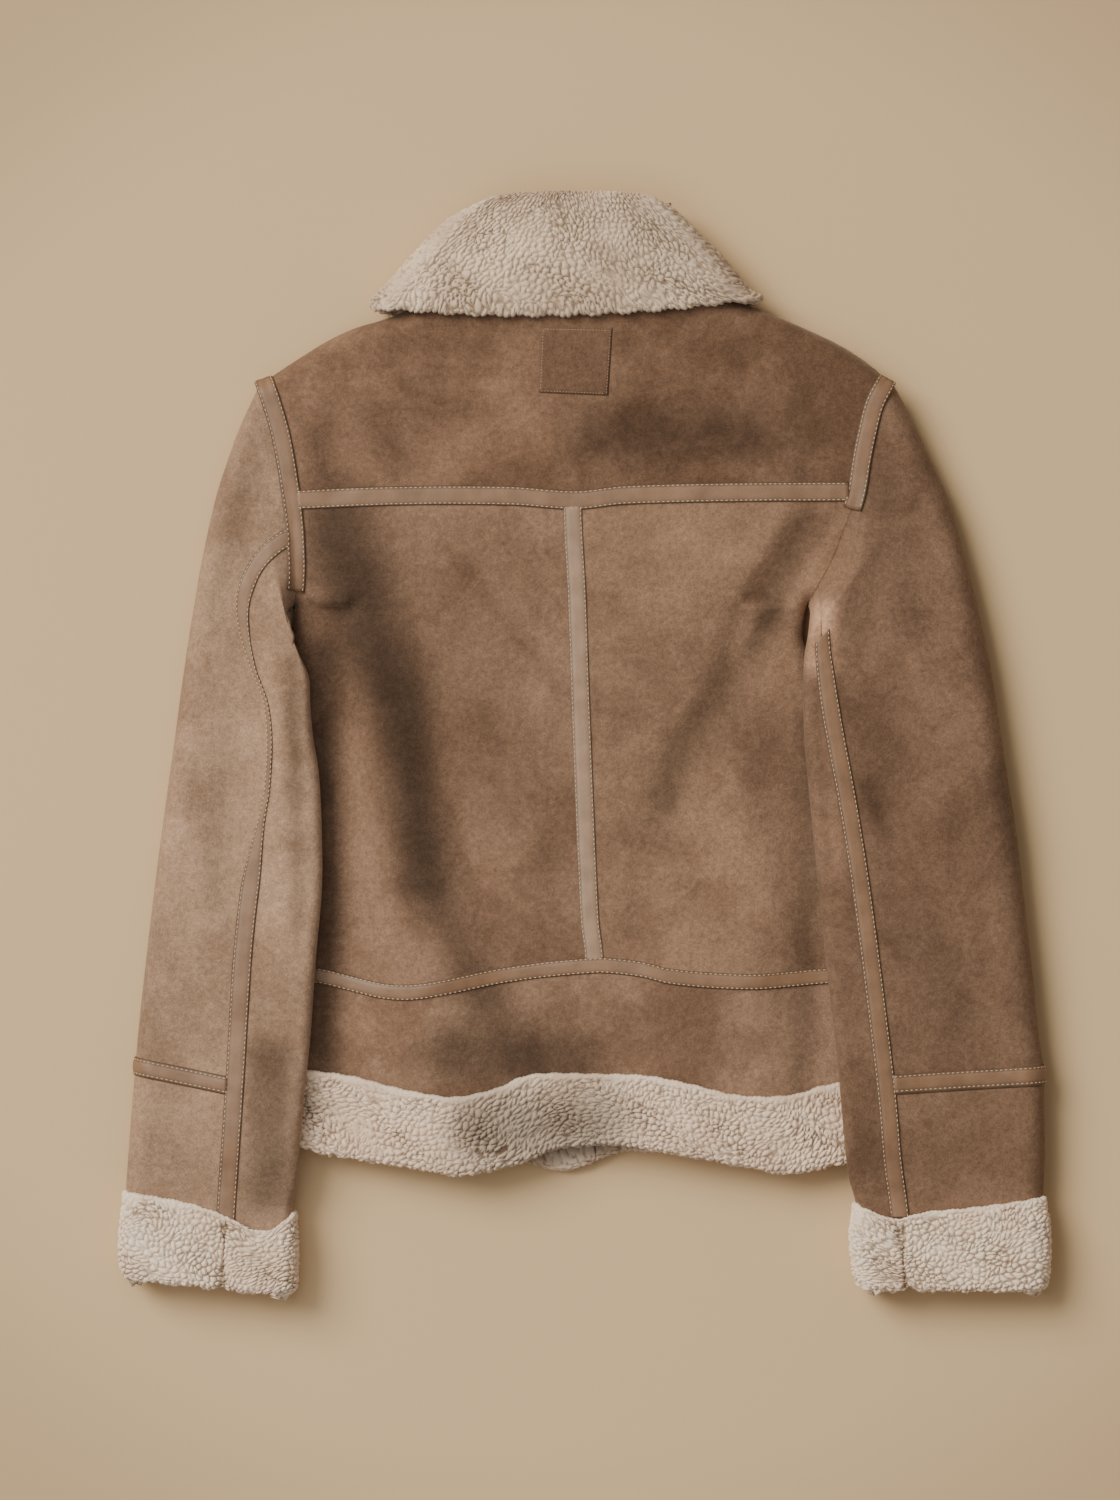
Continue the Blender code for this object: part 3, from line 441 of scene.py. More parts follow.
# ----------------------------------------
# Fronts: two plain suede pieces that lie edge to edge on the floor under the back. The neckline
# dips lower in front, and their lower edges are under the turned-up hem.
FRONT_NECKLINE = [(-92, 317), (-70, 296), (-40, 276), (-4, 266), (32, 278), (62, 298), (84, 321)]
FRONT_TOP = [row for row in TOP_EDGE if row[0] < NECK_POINTS[0]] + FRONT_NECKLINE
FRONT_TOP += [row for row in TOP_EDGE if row[0] > NECK_POINTS[1]]
front_suede = suede("front_suede", (0.160, 0.088, 0.052), (0.300, 0.178, 0.112), 0.9, (0.5, 0.6, 0.3))
for name, low, high in (("front_left", -1, -0.0015), ("front_right", 0.0015, 1)):
    across, down = crowded(low, high, 130 * DENSE), crowded(0, 1.02, 300 * DENSE)
    points = body_sheet(across, down, FRONT_TOP, HEM_TOP, -1)
    front = lay_suede(name + "_cloth", points, front_suede, 1)
    settle(front, name, "suede", flat=(0.226, 0.580), held="laid", area=0.115)

# ----------------------------------------
# Sleeves: each is cut as an upper piece and a narrower under piece, joined by a taped back seam and
# a hidden front seam. They lie on the floor beside the body and over its sides, and the left one
# rolls its back seam out of sight at the elbow.
SLEEVE_HEIGHT, SLEEVE_INNER_HEIGHT, SLEEVE_LIFT, CUFF_HEIGHT = 34.0, 45.0, 29.5, 33.0
SLEEVE_OUTER_RADIUS, SLEEVE_INNER_RADIUS = 15.0, 8.0
# Where the hidden front seam lies, from the inner fold to the outer, and how near the back seam
# may come to the inner fold.
FRONT_SEAM, SEAM_MARGIN = 0.3, 8.25
# Where the sleeves climb on the body (mm past its side, and levels), where their ends lie on the
# turned-up hem's level, and where they thin out towards the cuffs.
CLIMB, CLIMB_TOP, CLIMB_FOOT = (-28, 0), (86, 104), (-328, -296)
SLEEVE_HEM_LEVELS, CUFF_LEVELS, FULL_HEIGHT = (-290, -150), (-318, -262), (0.2, 1.0)
SWING = [(0, 0), (1, 0.35), (2, 0.7), (3, 1), (4, 1), (20, 1)]
BOW = [(0, 1), (1, 1), (2, 0.75), (3, 0.5), (4, 0.25), (5, 0), (6, 0), (20, 0)]
# Sections from the armhole to the cuff, then the hidden end inside the cuff down to its fold.
# columns: outer x, outer y, inner x, inner y
SLEEVE_SECTIONS = {
    "left": [
        (-224, 257, -203, 100), (-230.5, 247, -207.5, 95), (-242, 222, -208, 86),
        (-250, 200, -204.5, 75), (-258, 175, -198, 62), (-267, 135, -192, 48), (-274, 95, -191, 28),
        (-281, 50, -189, 6), (-287, 5, -185, -20), (-294, -45, -183, -60), (-300, -90, -183, -100),
        (-306, -140, -187, -147), (-311, -185, -191, -203), (-314, -217, -195, -241),
        (-315, -230, -196, -254), (-318, -268, -200, -292), (-321, -311, -203, -325),
        (-321, -331, -204, -346), (-322, -356, -205, -368), (-320, -368, -206, -379),
    ],
    "right": [
        (212, 257, 157, 100), (219, 250, 158.5, 94), (232, 224, 157.5, 86), (243, 200, 156, 76),
        (255, 174, 154, 65), (266, 138, 153, 51), (275, 102, 153, 38), (284, 62, 153, 22),
        (291, 20, 154, 2), (297, -20, 156, -22), (304, -66, 160, -62), (310, -118, 165, -112),
        (315, -162, 170, -162), (319, -202, 175, -204), (322, -223, 178, -231),
        (322.5, -237, 179, -245), (323, -285, 184, -296), (322, -315, 190, -319),
        (322.5, -332, 190, -338), (323, -356, 192, -362), (321, -376, 196, -375),
    ],
}
SLEEVE_SEAMS = {
    "left": [
        (-204, 150), (-216, 145), (-227, 133), (-234, 118), (-238, 100), (-237, 80), (-231, 56),
        (-222, 32), (-219, 5), (-221, -30), (-226, -57), (-230, -80), (-234, -106), (-238, -144),
        (-241, -190), (-243, -225), (-246, -270), (-250, -322), (-252, -370),
    ],
    "right": [
        (164, 88), (166, 68), (172, 24), (182, -30), (190, -78), (197, -128), (205.5, -196),
        (211, -243), (215, -287), (220, -323), (224, -370),
    ],
}
SLEEVE_FOLDS = [
    (-236, 110, -205, -20, 12, 3.0), (-282, -20, -246, -170, 14, 2.5),
    (-296, -90, -300, -180, 12, -2.5), (250, 120, 292, -60, 16, 2.5), (205, -30, 222, -84, 9, -2.0),
]
SLEEVE_CREASES = [
    (-246, 214, -226, 170, 7, -1.2), (-262, 160, -238, 128, 8, 1.3), (-272, 60, -240, 20, 9, -1.2),
    (-216, 60, -204, -10, 6, 1.2), (-206, -30, -214, -110, 8, -1.3), (-270, -60, -262, -130, 9, 1.3),
    (-290, -200, -262, -212, 6, 0.9), (-222, -180, -226, -280, 7, -1.0),
    (-290, -250, -268, -300, 9, -1.0), (196, 150, 176, 88, 7, 1.6), (210, 130, 196, 60, 8, -1.4),
    (232, 206, 224, 150, 9, 1.2), (226, 60, 244, 10, 9, -1.0), (200, -26, 214, -60, 5, -1.2),
    (208, -46, 226, -66, 4, -1.1), (206, -74, 228, -78, 4, 0.9), (262, -60, 284, -160, 12, -1.4),
    (236, -110, 250, -190, 11, 1.3), (216, -210, 250, -222, 6, -0.9), (262, -284, 300, -270, 7, -1.0),
    (236, -262, 240, -306, 7, 1.0),
]


def sections_at(rows, place):
    """Each column of a table of sections, read at places counted along it."""
    table = [(i, *row) for i, row in enumerate(rows)]
    return [curve(table, place, k + 1) for k in range(len(rows[0]))]


def fold_radii(place):
    """How far a sleeve has left the body (0 to 1), and the radii of its outer and inner folds."""
    swing = np.clip(curve(SWING, place), 0, 1)
    outer_radius = mix(EDGE_RADIUS, SLEEVE_OUTER_RADIUS, swing)
    return swing, outer_radius, mix(EDGE_RADIUS, SLEEVE_INNER_RADIUS, swing)


def sleeve_sheet(label, place, across, face):
    """Points on a sleeve: place counts the sections, across runs from the outer fold to the inner."""
    side = -1 if label == "left" else 1
    outer_x, outer_y, inner_x, inner_y = sections_at(SLEEVE_SECTIONS[label], place)
    swing, outer_radius, inner_radius = fold_radii(place)
    bow = np.clip(curve(BOW, place), 0, 1)
    length = np.hypot(inner_x - outer_x, inner_y - outer_y)
    level = mix(SHOULDER_TIP_Y, UNDERARM_Y, across)
    straight = mix(side_x(SHOULDER_TIP_Y, side), side_x(UNDERARM_Y, side), across)
    x = mix(outer_x, inner_x, across) + (side_x(level, side) - straight) * bow
    y = mix(outer_y, inner_y, across)
    inside = (x - side_x(np.minimum(y, UNDERARM_Y), side)) * -side
    lift = soft_step(*CLIMB, inside) * (1 - soft_step(*CLIMB_TOP, y)) * soft_step(*CLIMB_FOOT, y)
    low = SLEEVE_LIFT * lift + ON_HEM * (1 - soft_step(*SLEEVE_HEM_LEVELS, y)) * (1 - lift)
    high = mix(SLEEVE_HEIGHT, SLEEVE_INNER_HEIGHT, soft_step(*FULL_HEIGHT, across))
    high = mix(high, CUFF_HEIGHT, 1 - soft_step(*CUFF_LEVELS, y)) + fold_height(x, y, SLEEVE_FOLDS)
    low, high = low * swing, mix(back_height(x, y), high, swing)
    off_folds = soft_step(0, 0.2, across) * soft_step(0, 0.15, 1 - across)
    high = high + fold_height(x, y, SLEEVE_CREASES) * off_folds
    reach = across * length
    turn = np.minimum(reach / outer_radius, (length - reach) / inner_radius)
    cosine = np.clip(1 - turn, 0, 1)
    z = low + (high - low) / 2 * (1 + face * np.sqrt(1 - cosine**2))
    by_body = np.clip(1 - place, 0, 1) * np.ones_like(z)
    if by_body.max() > 0:
        z = mix(z, body_z(x, np.maximum(y, UNDERARM_Y), 1) * (face > 0) + z * (face < 0), by_body)
    return np.stack([x, y, z], -1)


def sleeve_lengths(label, place):
    """Widths, fold arcs and radii at places, half the girth, and how far round two seams lie."""
    outer_x, outer_y, inner_x, inner_y = sections_at(SLEEVE_SECTIONS[label], place)
    outer, inner = np.stack([outer_x, outer_y], -1), np.stack([inner_x, inner_y], -1)
    length = np.linalg.norm(inner - outer, axis=-1)
    toward = (inner - outer) / length[..., None]
    seam_y = np.linspace(SLEEVE_SEAMS[label][0][1], SLEEVE_SEAMS[label][-1][1], 160)
    seam_x = curve([(y, x) for x, y in SLEEVE_SEAMS[label]], seam_y)
    off = (seam_x[None] - outer[:, :1]) * toward[:, 1:] - (seam_y[None] - outer[:, 1:]) * toward[:, :1]
    step = np.diff(off, axis=1)
    t = -off[:, :-1] / np.where(np.abs(step) < 1e-9, 1e-9, step)
    miss = np.maximum(0, np.maximum(-t, t - 1))
    pick = miss.argmin(1)
    row = np.arange(len(pick))
    t = t[row, pick]
    hit = np.stack([mix(seam_x[pick], seam_x[pick + 1], t), mix(seam_y[pick], seam_y[pick + 1], t)], -1)
    reach = ((hit - outer) * toward).sum(-1)
    _, outer_radius, inner_radius = fold_radii(place)
    outer_arc = math.pi / 4 * (outer_radius + SLEEVE_HEIGHT / 2)
    inner_arc = math.pi / 4 * (inner_radius + SLEEVE_HEIGHT / 2)
    total = outer_arc + length - outer_radius - inner_radius + inner_arc
    back_seam = np.minimum(reach - outer_radius + outer_arc, total - SEAM_MARGIN)
    front_seam = mix(total - inner_arc, outer_arc, FRONT_SEAM)
    return length, outer_arc, inner_arc, outer_radius, inner_radius, total, back_seam, front_seam


def sleeve_round(label, place, around):
    """Points round a sleeve: around is in mm from the outer fold, over the top if positive."""
    length, outer_arc, inner_arc, outer_radius, inner_radius, total, *_ = (
        part[:, None] for part in sleeve_lengths(label, place))
    around = np.clip(around, -total, 2 * total)
    s = np.where(around < 0, -around, np.where(around > total, 2 * total - around, around))
    face = np.where((around < 0) | (around > total), -1, 1)
    start = outer_radius * (1 - np.cos(np.clip(s / outer_arc, 0, 1) * np.pi / 2))
    end = length - inner_radius * (1 - np.cos(np.clip((total - s) / inner_arc, 0, 1) * np.pi / 2))
    reach = np.where(total - s < inner_arc, end, outer_radius + s - outer_arc)
    reach = np.where(s < outer_arc, start, reach)
    return sleeve_sheet(label, place[:, None], reach / length, face)


# The left sleeve and cuff panel tones are lighter and the right ones darker: partly the suede's own tone,
# partly painted light on the left and painted shade on the right.
SLEEVE_TONES_AND_SHADING = {
    "left": ((0.225, 0.134, 0.085), (0.400, 0.258, 0.170), (0.45, 0.1, 0.2)),
    "right": ((0.112, 0.062, 0.037), (0.222, 0.131, 0.083), (0.85, 0.55, 0.1)),
}
CUFF_PANEL_TONES_AND_SHADING = {
    "left": ((0.240, 0.144, 0.091), (0.370, 0.236, 0.156), (0.45, 0.13, 0.7)),
    "right": ((0.155, 0.088, 0.053), (0.230, 0.138, 0.087), (0.65, 0.35, 0.6)),
}
# Strokes of nap tone with painted light and painted shade on the sleeves, such as a painted highlight by
# the top of the right sleeve's tape: x, y, x, y, half width, shift.
SLEEVE_NAP_AND_SHADING_STROKES = {
    "left": [
        (-220, 102, -216, -142, 14, 0.15), (-220, -219, -220, -310, 16, -0.85),
        (-236, 190, -250, 120, 12, -0.20), (-262, 60, -288, -60, 12, 0.12),
        (-252, 10, -262, -110, 9, -0.18), (-204, 60, -200, -120, 6, -0.40),
        (-300, -120, -306, -220, 10, -0.15),
    ],
    "right": [
        (166, 92, 164, 60, 10, 1.5), (170, 20, 178, -120, 6, 0.25), (242, 186, 291, -37, 22, -0.04),
        (206, 180, 232, 80, 14, -0.20), (222, 60, 252, -120, 16, 0.16), (200, -30, 214, -60, 8, -0.20),
        (288, -20, 304, -190, 10, -0.20), (230, -130, 262, -190, 18, -0.26),
    ],
}
CUFF_SEAM = {"left": 13.5, "right": 14.5}
# each piece's cut: width and length laid flat in metres, and its area in square metres
UNDER_COLUMNS, UPPER_COLUMNS = 37, 54
SLEEVE_CUTS = {
    "left": {"sleeve_upper": (0.175, 0.480, 0.073), "cuff_panel": (0.180, 0.112, 0.0185),
             "sleeve_under": (0.090, 0.520, 0.043)},
    "right": {"sleeve_upper": (0.245, 0.480, 0.103), "cuff_panel": (0.220, 0.112, 0.0232),
              "sleeve_under": (0.085, 0.520, 0.0375)},
}
for label, side in (("left", -1), ("right", 1)):
    last = len(SLEEVE_SECTIONS[label]) - 3
    dark, light, shift = SLEEVE_TONES_AND_SHADING[label]
    finish = suede(label + "_sleeve_suede", dark, light, 0.72, shift)
    dark, light, shift = CUFF_PANEL_TONES_AND_SHADING[label]
    panel_finish = suede(label + "_cuff_panel_suede", dark, light, 0.7, shift)
    for node, start, end, count, made_of in (
        ("sleeve_upper", 0, CUFF_SEAM[label], 470, finish),
        ("cuff_panel", CUFF_SEAM[label], last, 110, panel_finish),
        ("sleeve_under", 0, last, 560, finish),
    ):
        place = crowded(start, end, count * DENSE, 0.1)
        *_, total, back_seam, front_seam = (part[:, None] for part in sleeve_lengths(label, place))
        under = node == "sleeve_under"
        far = 2 * total - front_seam if under else -front_seam
        around = mix(back_seam, far, np.linspace(0, 1, UNDER_COLUMNS if under else UPPER_COLUMNS))
        piece = lay_suede(f"{label}_{node}_cloth", sleeve_round(label, place, around), made_of,
                          side if under else -side, SLEEVE_NAP_AND_SHADING_STROKES[label])
        width, run, area = SLEEVE_CUTS[label][node]
        settle(piece, f"{label}_{node}", "suede", flat=(width, run), held="laid",
               rests_on=["front_" + label], area=area)

# ----------------------------------------
# Seam tapes: smooth leather strips laid over the seams and sewn down with a row of light thread
# along each edge. The centre tape ends under the yoke and waist tapes, and those under the
# armhole tapes.
TAPE_HALF, WAIST_TAPE_HALF = 6.75, 5.5
TAPE_PROFILE = np.array([0.3, 0.6, 0.78, 0.86, 0.93, 0.985, 1])
TAPE_PROFILE = np.concatenate([-TAPE_PROFILE[::-1], [0], TAPE_PROFILE])
TAPE_MIDDLE, TAPE_STEP = 7, 2.8
TAPE_WALL, TAPE_RISE, TAPE_ROUND = 0.9, 1.0, 0.8
# The row of stitches along each edge: its place across the half width, its columns, its groove.
TAPE_STITCH, STITCH_COLUMNS, GROOVE_DEPTH, GROOVE_WIDTH = 0.79, ((3, 4), (11, 10)), 0.35, 0.6

leather_grain, given, result = new_group(
    "leather_grain", {"Color": "Color", "Edge": "Float"},
    {"Color": "Color", "Roughness": "Float", "Height": "Float"},
)
where = put(leather_grain, "TexCoord").outputs["Object"]
pores = put(leather_grain, "TexVoronoi", Vector=where, Scale=900, Randomness=1.0)
cloud = noise(where, 60, 4, 0.6)
tone = ramp(cloud, 0.3, 0.7, 0.84, 1.14)
# painted shade along the tape's edges and in its stitch grooves, from the edge mask
mottle_and_shading = times(tone, ramp(given["Edge"], 0, 1, 1.0, 0.42))
join(shade(given["Color"], mottle_and_shading), result["Color"])
join(ramp(cloud, 0, 1, 0.36, 0.62), result["Roughness"])
join(pores.outputs[0], result["Height"])


def leather(name, colour):
    """Smooth leather with painted shade along its edges and in its stitch grooves, from the edge attribute.
    """
    return finish_of(name, leather_grain, {"Color": (*colour, 1)}, ["Edge"], 0.25, 0.0003,
                     Specular_IOR_Level=0.42)


tape_leather = leather("tape_leather", (0.232, 0.131, 0.075))
thread, thread_tree, thread_shader = new_material("seam_thread")
twist = noise(put(thread_tree, "TexCoord").outputs["Object"], 1800, 2, 0.5)
thread_tone = blend(twist, (0.44, 0.31, 0.20, 1), (0.70, 0.54, 0.39, 1))
join(thread_tone, thread_shader.inputs["Base Color"])
thread_shader.inputs["Roughness"].default_value = 0.7


def out_of(points, sign):
    """Directions square to a grid of points."""
    square = np.cross(np.gradient(points, axis=1), np.gradient(points, axis=0)) * sign
    return square / np.maximum(1e-9, np.linalg.norm(square, axis=-1, keepdims=True))


def sew(name, lines, pitch=3.4, length=2.1, thickness=0.85):
    """Short stitches along lines of (points, directions out), joined in one mesh."""
    stitches = bmesh.new()
    for points, outs in lines:
        step = np.linalg.norm(np.diff(points, axis=0), axis=1)
        along = np.append(0, step.cumsum())
        for s in np.arange(pitch * 0.6, along[-1] - pitch * 0.4, pitch):
            i = min(len(step) - 1, int(np.searchsorted(along, s) - 1))
            t = (s - along[i]) / step[i]
            forward = Vector(points[i + 1] - points[i]).normalized()
            out = Vector(mix(outs[i], outs[i + 1], t)).normalized()
            beside = forward.cross(out).normalized()
            out = beside.cross(forward).normalized()
            tilt = forward + beside * 0.08
            shape = Matrix((beside * thickness / 2, out * thickness * 0.42, tilt * length / 2)).transposed()
            spot = Vector(mix(points[i], points[i + 1], t)) + out * thickness * 0.1
            placed = Matrix.Translation(spot * MM) @ (shape * MM).to_4x4()
            bmesh.ops.create_uvsphere(stitches, u_segments=6, v_segments=3, radius=1, matrix=placed)
    bmesh.ops.recalc_face_normals(stitches, faces=stitches.faces)
    mesh = bpy.data.meshes.new(name)
    stitches.to_mesh(mesh)
    stitches.free()
    mesh.shade_smooth()
    piece = new_piece(name, mesh, thread)
    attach(piece, "root")


def lay_tape(node, base, half, sign, lift, finish=None):
    """Tape on a grid of panel points, its rows along the seam and its columns across it."""
    offsets = TAPE_PROFILE * half
    outs = out_of(base, sign)
    step = np.linalg.norm(np.diff(base[:, TAPE_MIDDLE], axis=0), axis=1)
    run = np.append(0, step.cumsum())[:, None]
    crown = soft_step(half, half - TAPE_ROUND, np.abs(offsets)) + 0.25 * (1 - (offsets / half) ** 2)
    groove = np.exp(-(((np.abs(offsets) - TAPE_STITCH * half) / GROOVE_WIDTH) ** 2))
    wave = 0.10 * np.sin(run / 5.3 + offsets / 4) + 0.10 * np.sin(run / 8.9 + 1.3)
    wave += 0.06 * np.sin(run / 2.1)
    rise = lift + 0.15 + TAPE_RISE * crown - GROOVE_DEPTH * groove + wave * crown
    points = base + outs * rise[..., None]
    # painted shade: the edge mask marks the tape's borders and its stitch grooves
    edge = np.maximum(soft_step(0.86, 0.95, np.abs(TAPE_PROFILE)), 0.7 * groove)
    edge = np.broadcast_to(edge, points.shape[:2]).copy()
    piece = lay_cloth(node + "_strip", points, TAPE_WALL, finish or tape_leather, sign, {"edge": edge})
    settle(piece, node, "leather_tape", flat=(round(2 * half * MM, 4), round(step.sum() * MM, 3)),
           held="laid")
    rows = [(mix(points[:, a], points[:, b], 0.45), outs[:, a]) for a, b in STITCH_COLUMNS]
    sew(node + "_stitches", rows)


def steps(low, high, spacing):
    return np.linspace(low, high, max(3, round(abs(high - low) / spacing * DETAIL)))


x = steps(-201, 185, TAPE_STEP)[:, None]
y = curve(YOKE_SEAM, x) - TAPE_PROFILE * TAPE_HALF
x = np.broadcast_to(x, y.shape)
lay_tape("yoke_tape", body_points(x, y), TAPE_HALF, 1, 0.45)

y = steps(168, -150, TAPE_STEP)[:, None]
x = curve(CENTRE_SEAM, y) + TAPE_PROFILE * TAPE_HALF
y = np.broadcast_to(y, x.shape)
# The centre tape's leather is paler as a painted highlight.
highlit_leather = leather("highlit_tape_leather", (0.320, 0.205, 0.135))
lay_tape("centre_back_tape", body_points(x, y), TAPE_HALF, -1, 0.0, highlit_leather)

x = steps(-214.2, 206.6, TAPE_STEP)[:, None]
y = curve(WAIST_SEAM, x) - TAPE_PROFILE * WAIST_TAPE_HALF
x = np.clip(np.broadcast_to(x, y.shape), side_x(y, -1) + 0.2, side_x(y, 1) - 0.2)
lay_tape("waist_tape", body_points(x, y), WAIST_TAPE_HALF, 1, 0.45)

# Each armhole tape lies half on the body and half on the sleeve; each sleeve's back-seam tape runs
# from it to the cuff, and a short tape crosses the upper piece above the cuff.
for label, side, low_end, first in (("left", -1, 109, 0.9), ("right", 1, 166, 4.0)):
    level = steps(256.4, low_end, TAPE_STEP)[:, None]
    centre = np.concatenate([side_x(level, side), level], 1)
    heading = np.gradient(centre, axis=0)
    heading /= np.linalg.norm(heading, axis=1, keepdims=True)
    to_body = np.stack([-heading[:, 1], heading[:, 0]], -1)
    to_body *= np.sign(to_body[:, :1]) * -side
    offset = TAPE_PROFILE * TAPE_HALF
    flat = centre[:, None] + to_body[:, None] * offset[None, :, None]
    across = (SHOULDER_TIP_Y - level) / (SHOULDER_TIP_Y - UNDERARM_Y)
    first_ring = sleeve_sheet(label, np.ones_like(level), across, 1)[:, 0, :2]
    gap = np.maximum(3.0, -((first_ring - centre) * to_body).sum(1))[:, None]
    across = across * np.ones_like(offset)
    on_sleeve = sleeve_sheet(label, np.clip(-offset / gap, 0, 1.6), across, 1)[..., 2]
    z = np.where(offset > 0, body_z(flat[..., 0], flat[..., 1], 1), on_sleeve)
    lay_tape(label + "_armhole_tape", np.concatenate([flat, z[..., None]], -1), TAPE_HALF, side, 0.7)

    last = len(SLEEVE_SECTIONS[label]) - 3.4
    place = steps(first, last, 0.07)
    *_, seam, _ = (part[:, None] for part in sleeve_lengths(label, place))
    rolled = (soft_step(5.2, 6.6, place) * (1 - soft_step(8.6, 10.2, place)))[:, None] if side < 0 else 0
    base = sleeve_round(label, place, seam + TAPE_PROFILE * TAPE_HALF * (1 - 0.72 * rolled))
    lay_tape(label + "_sleeve_tape", base, TAPE_HALF, side, 0.2)

    place = CUFF_SEAM[label] - TAPE_PROFILE * 0.5
    *_, back_seam, front_seam = (part[:, None] for part in sleeve_lengths(label, place))
    around = mix(back_seam - 5.5, -front_seam, steps(0, 1, 0.011))
    base = sleeve_round(label, place, around).transpose(1, 0, 2)
    lay_tape(label + "_cuff_tape", base, TAPE_HALF, -side, 0.35)

# ----------------------------------------
# Back patch: a bare square of the same suede, sewn under the collar with fine stitches.
PATCH_CORNERS = np.array([[(-30, 293), (20, 292)], [(-32, 247), (17, 245)]], float)
t = np.linspace(0, 1, 33)
top, foot = (mix(PATCH_CORNERS[k, 0], PATCH_CORNERS[k, 1], t[:, None]) for k in (0, 1))
flat = mix(top[None], foot[None], t[:, None, None])
base = body_points(flat[..., 0], flat[..., 1])
border = np.minimum(np.minimum(t, 1 - t)[:, None], np.minimum(t, 1 - t)[None])
rise = 0.2 + 1.05 * soft_step(0, 0.03, border) - 0.25 * np.exp(-(((border - 0.035) / 0.014) ** 2))
points = base + out_of(base, -1) * rise[..., None]
patch_suede = suede("patch_suede", (0.115, 0.062, 0.037), (0.175, 0.099, 0.062), 0.6, (0.2, 0.1, 0.5))
back_patch = lay_suede("back_patch_cloth", points, patch_suede, -1, wall=PATCH_WALL)
settle(back_patch, "back_patch", "suede", flat=(0.050, 0.047), held="laid", rests_on=["back_yoke"])
outs = out_of(points, -1)
sew("back_patch_stitches",
    [(points[1, 1:-1], outs[1, 1:-1]), (points[-2, 1:-1], outs[-2, 1:-1]),
     (points[1:-1, 1], outs[1:-1, 1]), (points[1:-1, -2], outs[1:-1, -2])], 2.1, 1.3, 0.32)

# ----------------------------------------
# Turned-up hem: curled cream fleece folded back over the lower edge, in one across the back and
# in two halves across the fronts, which hang a little lower where they meet.
HEM_EDGE = [
    (-222, -275), (-200, -280), (-183, -285), (-152, -290), (-122, -294), (-84, -300), (-69, -297),
    (-46, -292), (-17, -281), (20, -278), (36, -279), (66, -285), (90, -289), (120, -295),
    (142, -299), (173, -294), (212, -288),
]
FRONT_HEM_EDGE = [
    (-222, -275), (-150, -287), (-80, -292), (-46, -292), (-26, -297), (-12, -299), (4, -294),
    (30, -284), (120, -290), (212, -288),
]
FLEECE_WALL, TURN_GAP, PILE_WALL = 5.0, 1.6, 2.6
# Rows round the fold and on the hidden leaf, and the fold's place among all the rows.
ARC_ROWS, INNER_ROWS, FOLD_PART = 14, 10, 8
CURL_SIZE, TUFT_SIZE = 4.2, 14.0

pile_shade, given, result = new_group(
    "pile_shade",
    {"Curl": "Float", "Nap": "Float", "Warm": "Color", "Cream": "Color", "Deep": "Color"},
    {"Color": "Color", "Height": "Float"},
)
where = put(pile_shade, "TexCoord").outputs["Object"]
drift = noise(where, 24, 3, 0.5)
fibre = noise(where, 1300, 3, 0.65, 1.2)
wool = noise(where, 480, 3, 0.6, 0.8)
drift = ramp(drift, 0.35, 0.65, ease="SMOOTHSTEP")
tone = blend(drift, given["Warm"], given["Cream"])
# painted shade in the gaps between curls, where the curl mask is low
ragged = ramp(times(wool, 0.36, given["Curl"]), 0.16, 0.78, ease="SMOOTHSTEP")
gap_shaded = blend(ragged, given["Deep"], tone)
strand = ramp(fibre, 0.3, 0.7, 0.90, 1.08, "SMOOTHSTEP")
join(shade(gap_shaded, times(strand, given["Nap"])), result["Color"])
lumps = times(wool, 0.55, times(fibre, 0.4))
join(times(given["Curl"], 1.5, lumps), result["Height"])


def fleece(name, warm, cream, gap_shade):
    """Curled pile: the curl attribute is 1 on the curls and 0 in the gaps between them, which take the dark
    gap colour as painted shade, partly the pile's own darker colour there.
    """
    given = {"Warm": (*warm, 1), "Cream": (*cream, 1), "Deep": (*gap_shade, 1)}
    return finish_of(name, pile_shade, given, ["Curl", "Nap"], 0.8, 0.0010, Roughness=0.95,
                     Specular_IOR_Level=0.1, Sheen_Weight=0.25, Sheen_Roughness=0.5,
                     Sheen_Tint=(1.0, 0.95, 0.88, 1))


def scatter(a, b, seed):
    """A steady value between 0 and 1 for each pair of whole numbers."""
    return np.modf(np.abs(np.sin(a * 127.1 + b * 311.7 + seed * 74.7) * 43758.5453))[0]


def curl_cells(u, v, size, seed, turn=0.0, draw=1.0):
    """Distances to the nearest and second nearest curl centres, in curls drawn out along a turn."""
    gx, gy = u / size, v / size
    cos, sin, root = np.cos(turn), np.sin(turn), np.sqrt(draw)
    near, second = np.full(gx.shape, 9.0), np.full(gx.shape, 9.0)
    for dx in (-2, -1, 0, 1, 2):
        for dy in (-2, -1, 0, 1, 2):
            cx, cy = np.floor(gx) + dx, np.floor(gy) + dy
            x, y = cx + scatter(cx, cy, seed) - gx, cy + scatter(cx, cy, seed + 9) - gy
            d = np.hypot((x * cos + y * sin) / root, (y * cos - x * sin) * root)
            second = np.minimum(second, np.maximum(near, d))
            near = np.minimum(near, d)
    return near, second


